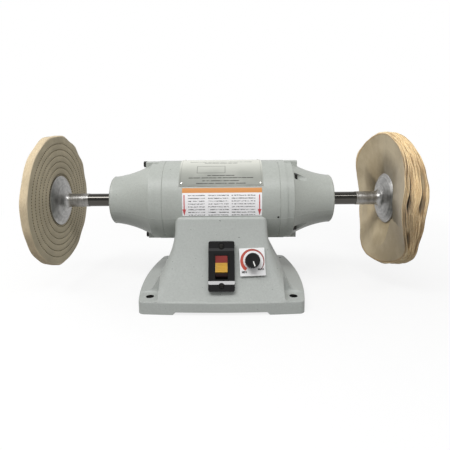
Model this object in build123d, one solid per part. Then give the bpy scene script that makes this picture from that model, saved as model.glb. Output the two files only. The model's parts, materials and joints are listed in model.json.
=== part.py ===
from build123d import *
import math
import os

# Bench buffing machine: a motor in a cast pedestal turns a cloth wheel on each end of a long spindle.
# It stands on the bench at z = 0, centred on the origin. The spindle runs along x and the controls
# face -y. Lengths are in millimetres and angles in degrees.

# Clearances
press_gap = 0.02
running_gap = 0.08
slip_gap = 0.3

# Stations along the spindle, from the middle of the motor outwards
shaft_height = 142.0
shell_half_length = 85.0
bell_band_width = 10.0
bell_rim_width = 10.0
bell_flare_length = 58.0
snout_length = 5.0
bare_shaft_length = 41.0
sleeve_length = 47.5
band_x = shell_half_length + bell_band_width
rim_x = band_x + bell_rim_width
flare_end_x = rim_x + bell_flare_length
bell_end_x = flare_end_x + snout_length
arbor_shoulder_x = bell_end_x + bare_shaft_length
wheel_face_x = arbor_shoulder_x + sleeve_length

# Spindle and ball bearings
journal_radius = 10.0
arbor_radius = 7.94
rotor_seat_radius = 14.0
spindle_chamfer = 1.2
thread_end = 8.0
bearing_width = 14.0
bearing_outer_radius = 23.5
bearing_ring_wall = 3.6
ball_radius = 3.97
ball_count = 8
cage_wall = 2.4
cage_width = 10.0
spring_washer_thickness = 1.0
seal_depth = 4.5
seal_width = 3.8
seal_radius = 17.0
bell_end_wall = 3.5
seal_x = bell_end_x - seal_depth
seat_end_x = seal_x - bell_end_wall
bearing_end_x = seat_end_x - spring_washer_thickness
bearing_x = bearing_end_x - bearing_width
ball_x = bearing_x + bearing_width / 2
ball_circle = (journal_radius + bearing_outer_radius) / 2
inner_ring_radius = journal_radius + bearing_ring_wall
outer_ring_bore = bearing_outer_radius - bearing_ring_wall

# Wheels, flanges and nuts
sewn_wheel_radius = 101.6
sewn_wheel_thickness = 11.8
sewn_rim_round = 2.0
sewn_swell = 2.5
sewn_swell_run = 3.0
stitch_count = 8
stitch_pitch = 6.4
stitch_edge_margin = 13.0
stitch_width = 2.4
stitch_depth = 0.7
loose_wheel_radius = 102.4
loose_hub_thickness = 15.5
loose_inner_lean = 11.5
loose_inner_wave = 7.5
loose_outer_lean = 1.0
loose_outer_wave = 3.0
loose_wave_count = 3
loose_rim_round = 3.0
loose_stations = 12
flange_radius = 38.6
flange_rim_thickness = 2.4
flange_crown = 7.0
flange_dish = 2.3
flange_collar_radius = 16.0
flange_cove = 9.0
sleeve_radius = 10.4
outer_flange_depth = 8.0
nut_height = 12.0
nut_flats = 24.0
nut_chamfer = 1.2
spindle_half_length = wheel_face_x + loose_hub_thickness + outer_flange_depth + nut_height + thread_end
arbor_bore = arbor_radius + running_gap
sewn_hub_thickness = sewn_wheel_thickness - sewn_swell

# Motor shell
shell_radius = 60.7
shell_wall = 3.2
pad_length = 112.0
pad_width = 48.0
pad_drop = 5.0
shell_bore = shell_radius - shell_wall
pad_z = shaft_height - shell_radius - pad_drop

# End bells
seam_chamfer = 0.6
bell_rim_step = 1.7
flare_shoulder = 1.5
flare_sag = 3.3
snout_radius = 36.9
snout_round = 1.5
spigot_length = 6.0
bell_bore_wall = 11.5
bell_hub_wall = 7.5
seat_lead = 0.6
lug_step = 0.5
lug_width = 26.0
lug_length = 20.0
lug_depth = 14.0
lug_angles = (90.0, 270.0)
pocket_width = 11.6
pocket_shoulder = 2.0
rim_radius = shell_radius - bell_rim_step
flare_radius = rim_radius - flare_shoulder
spigot_radius = shell_bore - running_gap
spigot_x = shell_half_length - spigot_length
bell_bore = shell_bore - bell_bore_wall
seat_radius = bearing_outer_radius + press_gap
seat_x = bearing_x - seat_lead
bell_wall_bore = (inner_ring_radius + outer_ring_bore) / 2
lug_radius = shell_radius - lug_step
lug_x = band_x + lug_length
pocket_x = rim_x + pocket_shoulder

# Motor bolts and screws
through_bolt_radius = 3.0
through_bolt_inset = 5.5
through_bolt_flats = 10.0
through_bolt_head = 4.0
through_bolt_bite = 16.0
through_bolt_angles = (45.0, 135.0, 225.0, 315.0)
lug_bolt_radius = 2.5
lug_bolt_inset = 5.0
lug_bolt_depth = 12.0
lug_bolt_flats = 8.0
lug_bolt_head = 5.6
lug_cap_radius = 4.2
lug_cap_head = 1.8
lug_cap_round = 0.9
seam_screw_radius = 1.6
seam_screw_bite = 3.0
seam_screw_angles = (-17.7, 197.7)
through_bolt_circle = shell_bore - through_bolt_inset
lug_bolt_circle = shell_radius - lug_bolt_inset

# Stator and rotor
core_half_length = 30.0
stator_bore = 36.0
air_gap = 0.6
slot_count = 24
slot_width = 4.2
slot_depth = 11.0
slot_liner = 0.3
coil_length = 13.0
coil_overhang = 1.6
coil_round = 2.5
rotor_bar_count = 28
rotor_bar_radius = 2.2
rotor_bar_skin = 1.2
rotor_bar_root = 3.0
cage_ring_length = 10.0
cage_ring_bore = 21.0
fan_blade_count = 8
fan_blade_length = 9.0
fan_blade_thickness = 2.2
fan_blade_inset = 1.8
stator_radius = shell_bore - press_gap
rotor_radius = stator_bore - air_gap
rotor_bar_circle = rotor_radius - rotor_bar_skin - rotor_bar_radius

# Base flange and its feet
base_width = 247.0
base_depth = 221.0
base_corner_width = 225.0
base_corner_depth = 211.0
base_corner_round = 9.0
flange_height = 17.5
flange_edge_round = 2.2
foot_relief = 3.8
front_relief_length = 124.0
side_relief_length = 104.0
crown_rise = 8.5
crown_width = 24.0
bench_hole_radius = 5.6
bench_hole_inset_x = 23.0
bench_hole_inset_y = 23.5
bench_spot_radius = 14.5
bench_spot_wall = 4.0
bench_spot_cove = 5.5
bench_hole_span_x = base_width - 2 * bench_hole_inset_x
bench_hole_span_y = base_depth - 2 * bench_hole_inset_y

# Pedestal, saddle and panel
pedestal_foot_width = 212.0
pedestal_flare_width = 191.6
pedestal_flank_width = 170.6
pedestal_waist_width = 146.0
pedestal_neck_width = 134.0
pedestal_top_width = 131.0
pedestal_flare_rise = 12.5
pedestal_flank_rise = 32.5
pedestal_waist_rise = 57.5
pedestal_neck_rise = 77.5
pedestal_foot_round = 18.5
pedestal_flank_round = 17.0
pedestal_waist_round = 10.0
pedestal_neck_round = 6.5
pedestal_top_round = 6.0
panel_edge_round = 4.0
panel_hollow = 4.5
panel_pad_depth = 6.0
panel_pad_inset = 1.2
shoulder_round = 10.5
shoulder_overlap = 0.4
panel_setback = 3.2
pedestal_wall = 7.0
cavity_foot_width = 180.0
cavity_round = 2.0
saddle_drop = 16.6
saddle_gap = 0.2
saddle_wall = 5.9
deck_thickness = 10.0
deck_margin = 6.0
saddle_top_z = shaft_height - saddle_drop
saddle_radius = shell_radius + saddle_gap
saddle_outer_radius = saddle_radius + saddle_wall
panel_top_y = math.sqrt(saddle_outer_radius ** 2 - saddle_drop ** 2)
panel_foot_y = base_depth / 2 - panel_setback
panel_tilt = math.degrees(math.atan2(panel_foot_y - panel_top_y, saddle_top_z - flange_height))
deck_z = pad_z - deck_thickness

# Bottom cover
rebate_width = 3.0
rebate_height = 6.0
cover_thickness = 1.6
cover_boss_radius = 7.0
cover_boss_height = 14.0
cover_boss_inset_x = 8.0
cover_boss_inset_y = 9.0
cover_screw_radius = 2.0
cover_screw_head_radius = 3.8
cover_screw_head = 2.2
cover_screw_chamfer = 0.7
cover_screw_bite = 9.0
cover_foot_x = cavity_foot_width / 2
cover_foot_y = panel_foot_y - pedestal_wall / math.cos(math.radians(panel_tilt))
cover_screw_x = cover_foot_x - cover_boss_inset_x
cover_screw_y = cover_foot_y - cover_boss_inset_y
cover_z = rebate_height - cover_thickness

# Bolts from the saddle into the motor's pad
pad_bolt_radius = 4.0
pad_bolt_flats = 13.0
pad_bolt_head = 5.3
pad_bolt_bite = 8.0
pad_bolt_span_x = 88.0
pad_bolt_span_y = 30.0
pad_washer_radius = 8.0
pad_washer_thickness = 1.6

# Nameplate and rotation label on the shell
plate_width = 121.0
plate_thickness = 0.6
plate_low_angle = 26.0
plate_high_angle = 104.0
plate_gap = 0.05
rivet_radius = 1.5
rivet_shank_radius = 0.75
rivet_head = 0.8
rivet_round = 0.4
rivet_bite = 2.0
rivet_inset = 4.0
rivet_inset_angle = 4.2
label_width = 113.6
label_x = 1.6
label_thickness = 0.3
label_high_angle = 23.5
label_low_angle = -14.8

# Switch on the front panel
switch_x = 0.6
switch_s = -68.3
bezel_width = 36.0
bezel_length = 68.6
bezel_plate = 2.6
bezel_height = 6.0
bezel_round = 3.0
bezel_edge_round = 0.8
dip_depth = 1.3
dip_top_s = 24.2
dip_foot_s = -24.6
dip_top_slope = 3.6
dip_foot_slope = 4.6
rocker_frame_width = 2.0
rocker_frame_height = 0.8
rocker_frame_chamfer = 0.5
switch_screw_span = 54.0
switch_screw_radius = 1.8
switch_screw_head_radius = 3.4
switch_screw_head = 1.8
switch_screw_round = 0.9
switch_screw_slot = 0.9
switch_well_radius = 4.6
rocker_offset = -1.5
rocker_width = 16.4
rocker_length = 27.4
rocker_pivot_depth = 3.0
rocker_end_height = 11.0
rocker_dip = 1.4
rocker_foot = 6.0
rocker_foot_length = 10.0
rocker_rest_tilt = -10.0
rocker_side_gap = 0.4
rocker_end_gap = 2.4
rocker_toe_drop = 4.0
rocker_pin_radius = 1.5
key_width = 16.4
key_length = 12.6
key_margin = 4.4
key_seat_height = 7.5
key_height = 5.6
key_border = 1.6
key_face_recess = 0.5
key_tongue_width = 10.0
key_tongue_length = 6.4
key_tongue_depth = 4.6
key_tongue_inset = 2.2
switch_body_wall = 2.0
switch_body_length = 40.0
switch_body_depth = 30.0
switch_well_depth = 11.0
terminal_width = 6.3
terminal_thickness = 0.8
terminal_length = 9.0
terminal_span_x = 11.0
terminal_span_s = 20.0

# Speed dial on the front panel
knob_x = 43.0
knob_s = -61.3
dial_width = 35.0
dial_height = 38.0
dial_thickness = 0.4
dial_drop = 1.2
dial_turn = 2.0
dial_round = 1.0
knob_radius = 10.3
knob_top_radius = 9.9
knob_height = 15.0
knob_gap = 0.8
knob_edge_round = 0.8
knob_flute_count = 20
knob_flute_radius = 0.9
knob_flute_offset = 0.3
knob_skirt_radius = 7.6
knob_skirt_depth = 4.6
pointer_width = 1.5
pointer_start = 1.6
pointer_margin = 0.7
pointer_depth = 0.6
pointer_proud = 0.2
pointer_angle = 162.0
pot_radius = 12.0
pot_depth = 11.0
pot_bushing_radius = 4.75
pot_bushing_length = 4.5
pot_nut_flats = 11.0
pot_nut_height = 2.2
pot_shaft_radius = 3.0
pot_shaft_length = 12.0
pot_shaft_bite = 6.0

# Speed board under the motor
board_width = 118.0
board_length = 92.0
board_thickness = 1.6
board_y = 30.0
board_height = 10.0
standoff_radius = 3.0
standoff_inset = 6.0
heat_sink_width = 70.0
heat_sink_depth = 24.0
heat_sink_height = 30.0
heat_sink_back = 5.0
heat_sink_x = -18.0
heat_sink_y = 56.0
heat_sink_fins = 8
heat_sink_fin = 2.0
capacitor_radius = 9.0
capacitor_height = 28.0
capacitor_round = 1.5
capacitor_y = 22.0
capacitor_xs = (-36.0, -14.0)
terminal_block_width = 14.0
terminal_block_length = 26.0
terminal_block_height = 12.0
terminal_block_slots = 3
terminal_mouth_width = 4.3
terminal_mouth_height = 6.0
terminal_mouth_depth = 2.4
lead_radius = 3.0
lead_hole_radius = 7.0
lead_x = core_half_length + coil_length / 2
cover_top_z = rebate_height
board_z = cover_top_z + board_height
board_top_z = board_z + board_thickness

# Control wires inside the pedestal
wire_radius = 1.3
wire_bend = 7.0

# Cord gland in the rear panel
gland_x = 40.0
gland_s = -56.0
gland_thread_radius = 8.0
gland_thread_length = 9.0
gland_flats = 22.0
gland_hex = 6.0
gland_cap_radius = 9.5
gland_cap_length = 8.0
gland_cap_round = 2.0
gland_pad_margin = 3.0
gland_bore = 4.2
gland_nut_flats = 22.0
gland_nut_height = 4.5

# Planes of the two sloped panels, with x along the spindle and y up the slope
tilt_cos = math.cos(math.radians(panel_tilt))
tilt_sin = math.sin(math.radians(panel_tilt))
front_panel = Plane((0, -panel_top_y, saddle_top_z), x_dir=(1, 0, 0), z_dir=(0, -tilt_cos, tilt_sin))
rear_panel = Plane((0, panel_top_y, saddle_top_z), x_dir=(-1, 0, 0), z_dir=(0, tilt_cos, tilt_sin))
switch_seat = front_panel.location * Pos(switch_x, switch_s, 0)
rocker_seat = switch_seat * Pos(0, rocker_offset, -rocker_pivot_depth) * Rot(rocker_rest_tilt, 0, 0)
knob_seat = front_panel.location * Pos(knob_x, knob_s, 0)
gland_seat = rear_panel.location * Pos(gland_x, gland_s, 0)
from_below = (Align.CENTER, Align.CENTER, Align.MIN)
from_above = (Align.CENTER, Align.CENTER, Align.MAX)


def disc(radius, x0, x1):
    """Round bar about the spindle between two stations along x."""
    bar = Cylinder(radius, x1 - x0, rotation=(0, 90, 0))
    return Pos((x0 + x1) / 2, 0, shaft_height) * bar


def ring(outer, inner, x0, x1):
    """Plain ring about the spindle between two stations along x."""
    return disc(outer, x0, x1) - disc(inner, x0, x1)


def turned(*edges):
    """Solid turned about the spindle from a closed outline of x and radius."""
    section = Plane.XZ * make_face(edges)
    return Pos(0, 0, shaft_height) * revolve(section, axis=Axis.X)


def turned_to(angle, piece):
    """Piece modelled above the spindle, turned about it to an angle above the front."""
    return Pos(0, 0, shaft_height) * Rot(90 - angle, 0, 0) * Pos(0, 0, -shaft_height) * piece


def side_bar(radius, circle, x0, x1):
    """Round bar parallel to the spindle, straight above it at the given distance."""
    return Pos(0, 0, circle) * disc(radius, x0, x1)


def hex_bar(flats, height):
    """Upright hexagonal bar standing on its seat."""
    return extrude(RegularPolygon(flats / 2, 6, major_radius=False), height)


def grid(span_x, span_y):
    """Four corner places of a rectangle about the origin."""
    return [(x, y) for x in (-span_x / 2, span_x / 2) for y in (-span_y / 2, span_y / 2)]


def group(solids):
    """Separate solids kept together as one piece list."""
    return Compound(children=list(solids))


def left_of(piece):
    """The same piece on the other side of the machine."""
    return mirror(piece, about=Plane.YZ)


def arc_plate(inner, thickness, x0, x1, low, high):
    """Plate wrapped round the spindle line between two angles above the front."""
    def at(radius, angle):
        turn = math.radians(angle)
        return (-radius * math.cos(turn), radius * math.sin(turn))

    outer = inner + thickness
    middle = (low + high) / 2
    outline = [
        ThreePointArc(at(inner, low), at(inner, middle), at(inner, high)),
        Line(at(inner, high), at(outer, high)),
        ThreePointArc(at(outer, high), at(outer, middle), at(outer, low)),
        Line(at(outer, low), at(inner, low)),
    ]
    plate = extrude(Plane.YZ * make_face(outline), x1 - x0)
    return Pos(x0, 0, shaft_height) * plate


# Base

def pedestal_body(inset, foot_width, hollow):
    """Flared block between the two hollow panels, with its walls moved in by an inset."""
    height = saddle_top_z - flange_height
    stations = [
        (0, foot_width + 2 * inset, pedestal_foot_round),
        (pedestal_flare_rise, pedestal_flare_width, pedestal_foot_round),
        (pedestal_flank_rise, pedestal_flank_width, pedestal_flank_round),
        (pedestal_waist_rise, pedestal_waist_width, pedestal_waist_round),
        (pedestal_neck_rise, pedestal_neck_width, pedestal_neck_round),
        (height, pedestal_top_width, pedestal_top_round),
    ]
    sections = []
    for rise, width, corner in stations:
        depth = hollow * (1 - (2 * rise / height - 1) ** 2)
        half_y = panel_foot_y - (rise * tilt_sin + inset + depth) / tilt_cos
        section = RectangleRounded(width - 2 * inset, 2 * half_y, max(corner - inset, cavity_round))
        sections.append(Pos(0, 0, flange_height + rise) * section)
    return loft(sections)


def base_outline(inset):
    """Bowed footprint of the flange with rounded corners, moved in by an inset."""
    half_x = base_corner_width / 2 - inset
    half_y = base_corner_depth / 2 - inset
    bow_x = base_width / 2 - inset
    bow_y = base_depth / 2 - inset
    edges = [
        ThreePointArc((-half_x, -half_y), (0, -bow_y), (half_x, -half_y)),
        ThreePointArc((half_x, -half_y), (bow_x, 0), (half_x, half_y)),
        ThreePointArc((half_x, half_y), (0, bow_y), (-half_x, half_y)),
        ThreePointArc((-half_x, half_y), (-bow_x, 0), (-half_x, -half_y)),
    ]
    face = make_face(edges)
    return fillet(face.vertices(), base_corner_round)


def foot_relief_cut(length, reach):
    """Sloped-ended channel under the flange that leaves feet at its corners."""
    half = length / 2
    corners = [(-half - foot_relief, 0), (half + foot_relief, 0), (half, foot_relief), (-half, foot_relief)]
    return extrude(Plane.XZ * make_face(Polyline(*corners, close=True)), reach, both=True)


def shoulder_waste():
    """Corner of the pedestal outside the rounded right end of its top."""
    x = pedestal_top_width / 2 + shoulder_overlap - shoulder_round
    z = saddle_top_z + shoulder_overlap - shoulder_round
    corner = Box(2 * shoulder_round, base_depth, 2 * shoulder_round, align=(Align.MIN, Align.CENTER, Align.MIN))
    return Pos(x, 0, z) * (corner - Cylinder(shoulder_round, 2 * base_depth, rotation=(90, 0, 0)))


def panel_pads():
    """Flat pads that stand on the hollow panels under the switch, the dial and the cord gland."""
    switch_pad = Box(bezel_width - 2 * panel_pad_inset, bezel_length - 2 * panel_pad_inset, panel_pad_depth,
                     align=from_above)
    dial_pad = Box(dial_width - 2 * panel_pad_inset, dial_height - 2 * panel_pad_inset, panel_pad_depth,
                   align=from_above)
    gland_pad = Cylinder(gland_flats / 2 + gland_pad_margin, panel_pad_depth, align=from_above)
    return [switch_seat * switch_pad, knob_seat * Pos(0, -dial_drop, 0) * Rot(0, 0, dial_turn) * dial_pad,
            gland_seat * gland_pad]


def bench_spot(x, y, margin):
    """Flat round a bench hole, open to the flange's rim at its corner and grown by a margin."""
    reach_x = bench_hole_inset_x + bench_spot_radius + margin
    reach_y = bench_hole_inset_y + bench_spot_radius + margin
    outline = RectangleRounded(2 * reach_x, 2 * reach_y, bench_spot_radius + margin)
    corner = Pos(math.copysign(base_width / 2, x), math.copysign(base_depth / 2, y), flange_height)
    return corner * extrude(outline, saddle_top_z)


def bench_scoop(x, y):
    """Waste above a bench hole's flat, rounded where the flat meets the pedestal."""
    spot = bench_spot(x, y, 0)
    return fillet(spot.faces().sort_by(Axis.Z)[0].edges(), bench_spot_cove)


def base_casting():
    """Cast base: flange, flared pedestal, panels and the saddle that carries the motor."""
    flange = extrude(base_outline(0), flange_height)
    crown_top = Pos(0, 0, flange_height + crown_rise) * base_outline(crown_width)
    flange += loft([Pos(0, 0, flange_height) * base_outline(0), crown_top], ruled=True)
    rim = flange.edges().filter_by_position(Axis.Z, flange_height, flange_height)
    flange = fillet(rim, flange_edge_round)
    pedestal = pedestal_body(0, pedestal_foot_width, panel_hollow)
    pedestal = fillet(pedestal.faces().sort_by(Axis.Z)[-1].edges(), panel_edge_round)
    pedestal -= [shoulder_waste(), left_of(shoulder_waste())]
    bench_holes = grid(bench_hole_span_x, bench_hole_span_y)
    holes = [Pos(x, y, 0) * Cylinder(bench_hole_radius, saddle_top_z, align=from_below) for x, y in bench_holes]
    casting = flange + pedestal - [bench_scoop(x, y) for x, y in bench_holes] - holes + panel_pads()

    pad_seat = Box(pad_length + 2 * slip_gap, pad_width + 2 * slip_gap, saddle_top_z, align=from_below)
    deck = Box(pedestal_waist_width, pad_width + 2 * deck_margin, saddle_top_z, align=from_below)
    cavity = pedestal_body(pedestal_wall, cavity_foot_width, 0)
    cavity += extrude(cavity.faces().sort_by(Axis.Z)[0], flange_height)
    cavity -= disc(saddle_outer_radius, -base_width, base_width)
    cavity -= Pos(0, 0, deck_z) * deck
    cavity -= [Pos(x, y, rebate_height) * Cylinder(cover_boss_radius, cover_boss_height, align=from_below)
               for x, y in grid(2 * cover_screw_x, 2 * cover_screw_y)]
    cavity -= [Pos(0, 0, -flange_height) * bench_spot(x, y, bench_spot_wall) for x, y in bench_holes]
    rebate = Box(2 * (cover_foot_x + rebate_width), 2 * (cover_foot_y + rebate_width), rebate_height,
                 align=from_below)
    casting = casting - cavity - rebate
    casting -= disc(saddle_radius, -base_width, base_width)
    casting -= Pos(0, 0, pad_z) * pad_seat
    casting -= foot_relief_cut(front_relief_length, base_depth)
    casting -= Rot(0, 0, 90) * foot_relief_cut(side_relief_length, base_width)
    casting -= [Pos(x, y, deck_z) * Cylinder(pad_bolt_radius + slip_gap, deck_thickness, align=from_below)
                for x, y in grid(pad_bolt_span_x, pad_bolt_span_y)]
    casting -= Pos(lead_x, 0, deck_z) * Cylinder(lead_hole_radius, deck_thickness, align=from_below)
    tap = Cylinder(cover_screw_radius + running_gap, cover_screw_bite + slip_gap, align=from_below)
    casting -= [Pos(x, y, rebate_height) * tap for x, y in grid(2 * cover_screw_x, 2 * cover_screw_y)]
    return casting - panel_holes()


def panel_holes():
    """Openings through the panels for the switch, its screws, the dial and the cord gland."""
    through = 2 * pedestal_wall
    switch_hole = Box(switch_body_width() + 2 * slip_gap, switch_body_length + 2 * slip_gap, through)
    cuts = [switch_seat * switch_hole]
    cuts += [switch_seat * Pos(0, s, 0) * Cylinder(switch_screw_radius + running_gap, through)
             for s in (-switch_screw_span / 2, switch_screw_span / 2)]
    cuts.append(knob_seat * Cylinder(pot_bushing_radius + slip_gap, through + pot_nut_height))
    cuts.append(gland_seat * Cylinder(gland_thread_radius + running_gap, through + gland_hex))
    return cuts


def base_cover():
    """Sheet cover seated in the rebate under the pedestal."""
    width = 2 * (cover_foot_x + rebate_width - slip_gap)
    length = 2 * (cover_foot_y + rebate_width - slip_gap)
    plate = Pos(0, 0, cover_z) * Box(width, length, cover_thickness, align=from_below)
    holes = [Pos(x, y, cover_z) * Cylinder(cover_screw_radius + slip_gap, cover_thickness, align=from_below)
             for x, y in grid(2 * cover_screw_x, 2 * cover_screw_y)]
    return plate - holes


def cover_screws():
    """Four pan-head screws from below into the cover's bosses."""
    head = Cylinder(cover_screw_head_radius, cover_screw_head, align=from_above)
    head = chamfer(head.edges().group_by(Axis.Z)[0], cover_screw_chamfer)
    screw = head + Cylinder(cover_screw_radius, cover_thickness + cover_screw_bite, align=from_below)
    return group(Pos(x, y, cover_z) * screw for x, y in grid(2 * cover_screw_x, 2 * cover_screw_y))


# Motor

def motor_shell():
    """Tube round the stator with the pad that it stands on."""
    tube = ring(shell_radius, shell_bore, -shell_half_length, shell_half_length)
    tube = chamfer(tube.edges().filter_by(GeomType.CIRCLE).group_by(SortBy.RADIUS)[-1], seam_chamfer)
    pad = Pos(0, 0, pad_z) * Box(pad_length, pad_width, shell_radius, align=from_below)
    pad -= disc(shell_bore, -shell_half_length, shell_half_length)
    bolt = Cylinder(pad_bolt_radius + running_gap, pad_bolt_bite + slip_gap, align=from_below)
    shell = tube + pad - [Pos(x, y, pad_z) * bolt for x, y in grid(pad_bolt_span_x, pad_bolt_span_y)]
    shell -= Pos(lead_x, 0, pad_z) * Cylinder(lead_radius + 2 * slip_gap, shell_radius, align=from_below)
    shell -= seam_screw_bars(running_gap)
    return shell - rivet_bars(running_gap)


def flare_line():
    """Hollow curve of a bell from its rim to its snout."""
    return SagittaArc((rim_x, flare_radius), (flare_end_x, snout_radius), -flare_sag)


def end_bell(pockets):
    """Right-hand end bell. With pockets it takes the bolt heads, without them the bolt ends."""
    hub_radius = seat_radius + bell_hub_wall
    back = Polyline(
        (flare_end_x, snout_radius), (bell_end_x - snout_round, snout_radius),
        (bell_end_x, snout_radius - snout_round), (bell_end_x, seal_radius + press_gap),
        (seal_x, seal_radius + press_gap), (seal_x, bell_wall_bore), (seat_end_x, bell_wall_bore),
        (seat_end_x, seat_radius), (seat_x, seat_radius), (seat_x, hub_radius), (band_x, bell_bore),
        (spigot_x, bell_bore), (spigot_x, spigot_radius), (shell_half_length, spigot_radius),
        (shell_half_length, shell_radius - seam_chamfer), (shell_half_length + seam_chamfer, shell_radius),
        (band_x, shell_radius), (band_x, rim_radius), (rim_x, rim_radius), (rim_x, flare_radius))
    bell = turned(*flare_line().edges(), *back.edges())
    lug = Pos((band_x + lug_x) / 2, 0, shaft_height + lug_radius) * Box(
        lug_length, lug_width, lug_depth, align=from_above)
    lug &= disc(lug_radius, band_x, lug_x)
    spot = side_bar(lug_cap_radius + 2 * slip_gap, lug_bolt_circle, lug_x, lug_x + 2 * lug_bolt_head)
    tap = side_bar(lug_bolt_radius + running_gap, lug_bolt_circle, lug_x - lug_bolt_depth - slip_gap, lug_x)
    for angle in lug_angles:
        bell = bell + turned_to(angle, lug) - turned_to(angle, spot) - turned_to(angle, tap)
    hole_end = pocket_x if pockets else spigot_x + through_bolt_bite + slip_gap
    hole = side_bar(through_bolt_radius + running_gap, through_bolt_circle, spigot_x, hole_end)
    slot = side_bar(pocket_width / 2, through_bolt_circle, pocket_x, bell_end_x)
    slot += Pos((pocket_x + bell_end_x) / 2, 0, shaft_height + through_bolt_circle) * Box(
        bell_end_x - pocket_x, pocket_width, shell_radius, align=from_below)
    for angle in through_bolt_angles:
        bell -= turned_to(angle, hole)
        if pockets:
            bell -= turned_to(angle, slot)
    if pockets:
        bell -= seam_screw_bars(running_gap)
    return bell


def through_bolts():
    """Four long bolts from the right bell's pockets through the stator into the left bell."""
    head = Pos(pocket_x, 0, shaft_height + through_bolt_circle) * Rot(0, 90, 0) * hex_bar(
        through_bolt_flats, through_bolt_head)
    shank = side_bar(through_bolt_radius, through_bolt_circle, -spigot_x - through_bolt_bite, pocket_x)
    return group(turned_to(angle, head + shank) for angle in through_bolt_angles)


def lug_bolts():
    """Bolts in the bells' top and bottom lugs: hexagon heads on the left, low caps on the right."""
    shank = side_bar(lug_bolt_radius, lug_bolt_circle, lug_x - lug_bolt_depth, lug_x)
    seat = Pos(lug_x, 0, shaft_height + lug_bolt_circle) * Rot(0, 90, 0)
    bolt = left_of(shank + seat * hex_bar(lug_bolt_flats, lug_bolt_head))
    cap = seat * Cylinder(lug_cap_radius, lug_cap_head, align=from_below)
    cap = shank + fillet(cap.edges().group_by(Axis.X)[-1], lug_cap_round)
    return group(turned_to(angle, piece) for angle in lug_angles for piece in (bolt, cap))


def seam_screw_bars(gap):
    """Radial screws that lock the right bell's spigot in the shell."""
    bar = Cylinder(seam_screw_radius + gap, shell_wall + seam_screw_bite + gap, align=from_below)
    bar = Pos(shell_half_length - spigot_length / 2, 0, shaft_height + spigot_radius - seam_screw_bite) * bar
    return [turned_to(angle, bar) for angle in seam_screw_angles]


def seam_screws():
    """Grub screws flush with the shell at the right seam."""
    round_bar = disc(shell_radius, -shell_half_length, shell_half_length)
    return group(bar & round_bar for bar in seam_screw_bars(0))


def pad_bolts():
    """Bolts from under the deck into the motor's pad."""
    grip = pad_washer_thickness + deck_thickness + pad_bolt_bite
    bolt = Cylinder(pad_bolt_radius, grip, align=from_below)
    bolt += Pos(0, 0, -pad_bolt_head) * hex_bar(pad_bolt_flats, pad_bolt_head)
    seat_z = deck_z - pad_washer_thickness
    return group(Pos(x, y, seat_z) * bolt for x, y in grid(pad_bolt_span_x, pad_bolt_span_y))


def pad_washers():
    """Plain washers under the pad bolts' heads."""
    washer = Cylinder(pad_washer_radius, pad_washer_thickness, align=from_above)
    washer -= Cylinder(pad_bolt_radius + slip_gap, pad_washer_thickness, align=from_above)
    return group(Pos(x, y, deck_z) * washer for x, y in grid(pad_bolt_span_x, pad_bolt_span_y))


def stator_slots(margin):
    """Winding slots from the stator's bore outwards, narrowed and shortened by a margin."""
    depth = slot_depth - margin
    length = 2 * core_half_length + 2 * margin
    width = slot_width - 2 * margin
    lead = air_gap if margin == 0 else -slot_liner
    bar = Pos(0, 0, shaft_height + stator_bore) * Box(length, width, depth, align=from_below)
    bar += Pos(0, 0, shaft_height + stator_bore - lead) * Box(length, width, depth / 2, align=from_below)
    return [turned_to((i + 0.5) * 360 / slot_count, bar) for i in range(slot_count)]


def stator_core():
    """Laminated ring with winding slots and holes for the long bolts."""
    core = ring(stator_radius, stator_bore, -core_half_length, core_half_length)
    core -= stator_slots(0)
    bolt = side_bar(through_bolt_radius + slip_gap, through_bolt_circle, -core_half_length, core_half_length)
    return core - [turned_to(angle, bolt) for angle in through_bolt_angles]


def stator_windings():
    """Coils: bars in the slots joined by a ring of end turns at each end of the core."""
    start = core_half_length + slot_liner
    coil = ring(stator_bore + slot_depth + coil_overhang - slot_liner, stator_bore + slot_liner + air_gap,
                start, start + coil_length - slot_liner)
    coil = fillet(coil.edges().group_by(Axis.X)[-1], coil_round)
    reach = ring(stator_bore + slot_depth - slot_liner, stator_bore + slot_liner + air_gap, -start, start)
    return coil + left_of(coil) + [bar & reach for bar in stator_slots(slot_liner)]


def rotor_bars(gap):
    """Round bars through the rotor under its skin."""
    end = core_half_length + rotor_bar_root
    bar = side_bar(rotor_bar_radius + gap, rotor_bar_circle, -end, end)
    return [turned_to(i * 360 / rotor_bar_count, bar) for i in range(rotor_bar_count)]


def rotor_core():
    """Laminated rotor with a row of closed bar holes under its skin."""
    core = ring(rotor_radius, rotor_seat_radius + press_gap, -core_half_length, core_half_length)
    return core - rotor_bars(press_gap)


def rotor_cage():
    """Cast cage: bars through the rotor joined by an end ring with fan blades at each end."""
    end = core_half_length + cage_ring_length
    ring_radius = rotor_radius - rotor_bar_skin / 2
    end_ring = ring(ring_radius, cage_ring_bore, core_half_length, end)
    blade_height = ring_radius - cage_ring_bore - 2 * fan_blade_inset
    blade = Pos(end, 0, shaft_height + cage_ring_bore + fan_blade_inset) * Box(
        fan_blade_length, fan_blade_thickness, blade_height, align=(Align.MIN, Align.CENTER, Align.MIN))
    end_ring += [turned_to(i * 360 / fan_blade_count, blade) for i in range(fan_blade_count)]
    return end_ring + left_of(end_ring) + rotor_bars(0)


def nameplate():
    """Blank plate wrapped over the top of the shell."""
    plate = arc_plate(shell_radius + plate_gap, plate_thickness, -plate_width / 2, plate_width / 2,
                      plate_low_angle, plate_high_angle)
    return plate - rivet_bars(running_gap)


def rivet_places():
    """Places of the nameplate's rivets: x and angle above the front."""
    x = plate_width / 2 - rivet_inset
    angles = (plate_low_angle + rivet_inset_angle, plate_high_angle - rivet_inset_angle)
    return [(side * x, angle) for side in (-1, 1) for angle in angles]


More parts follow.
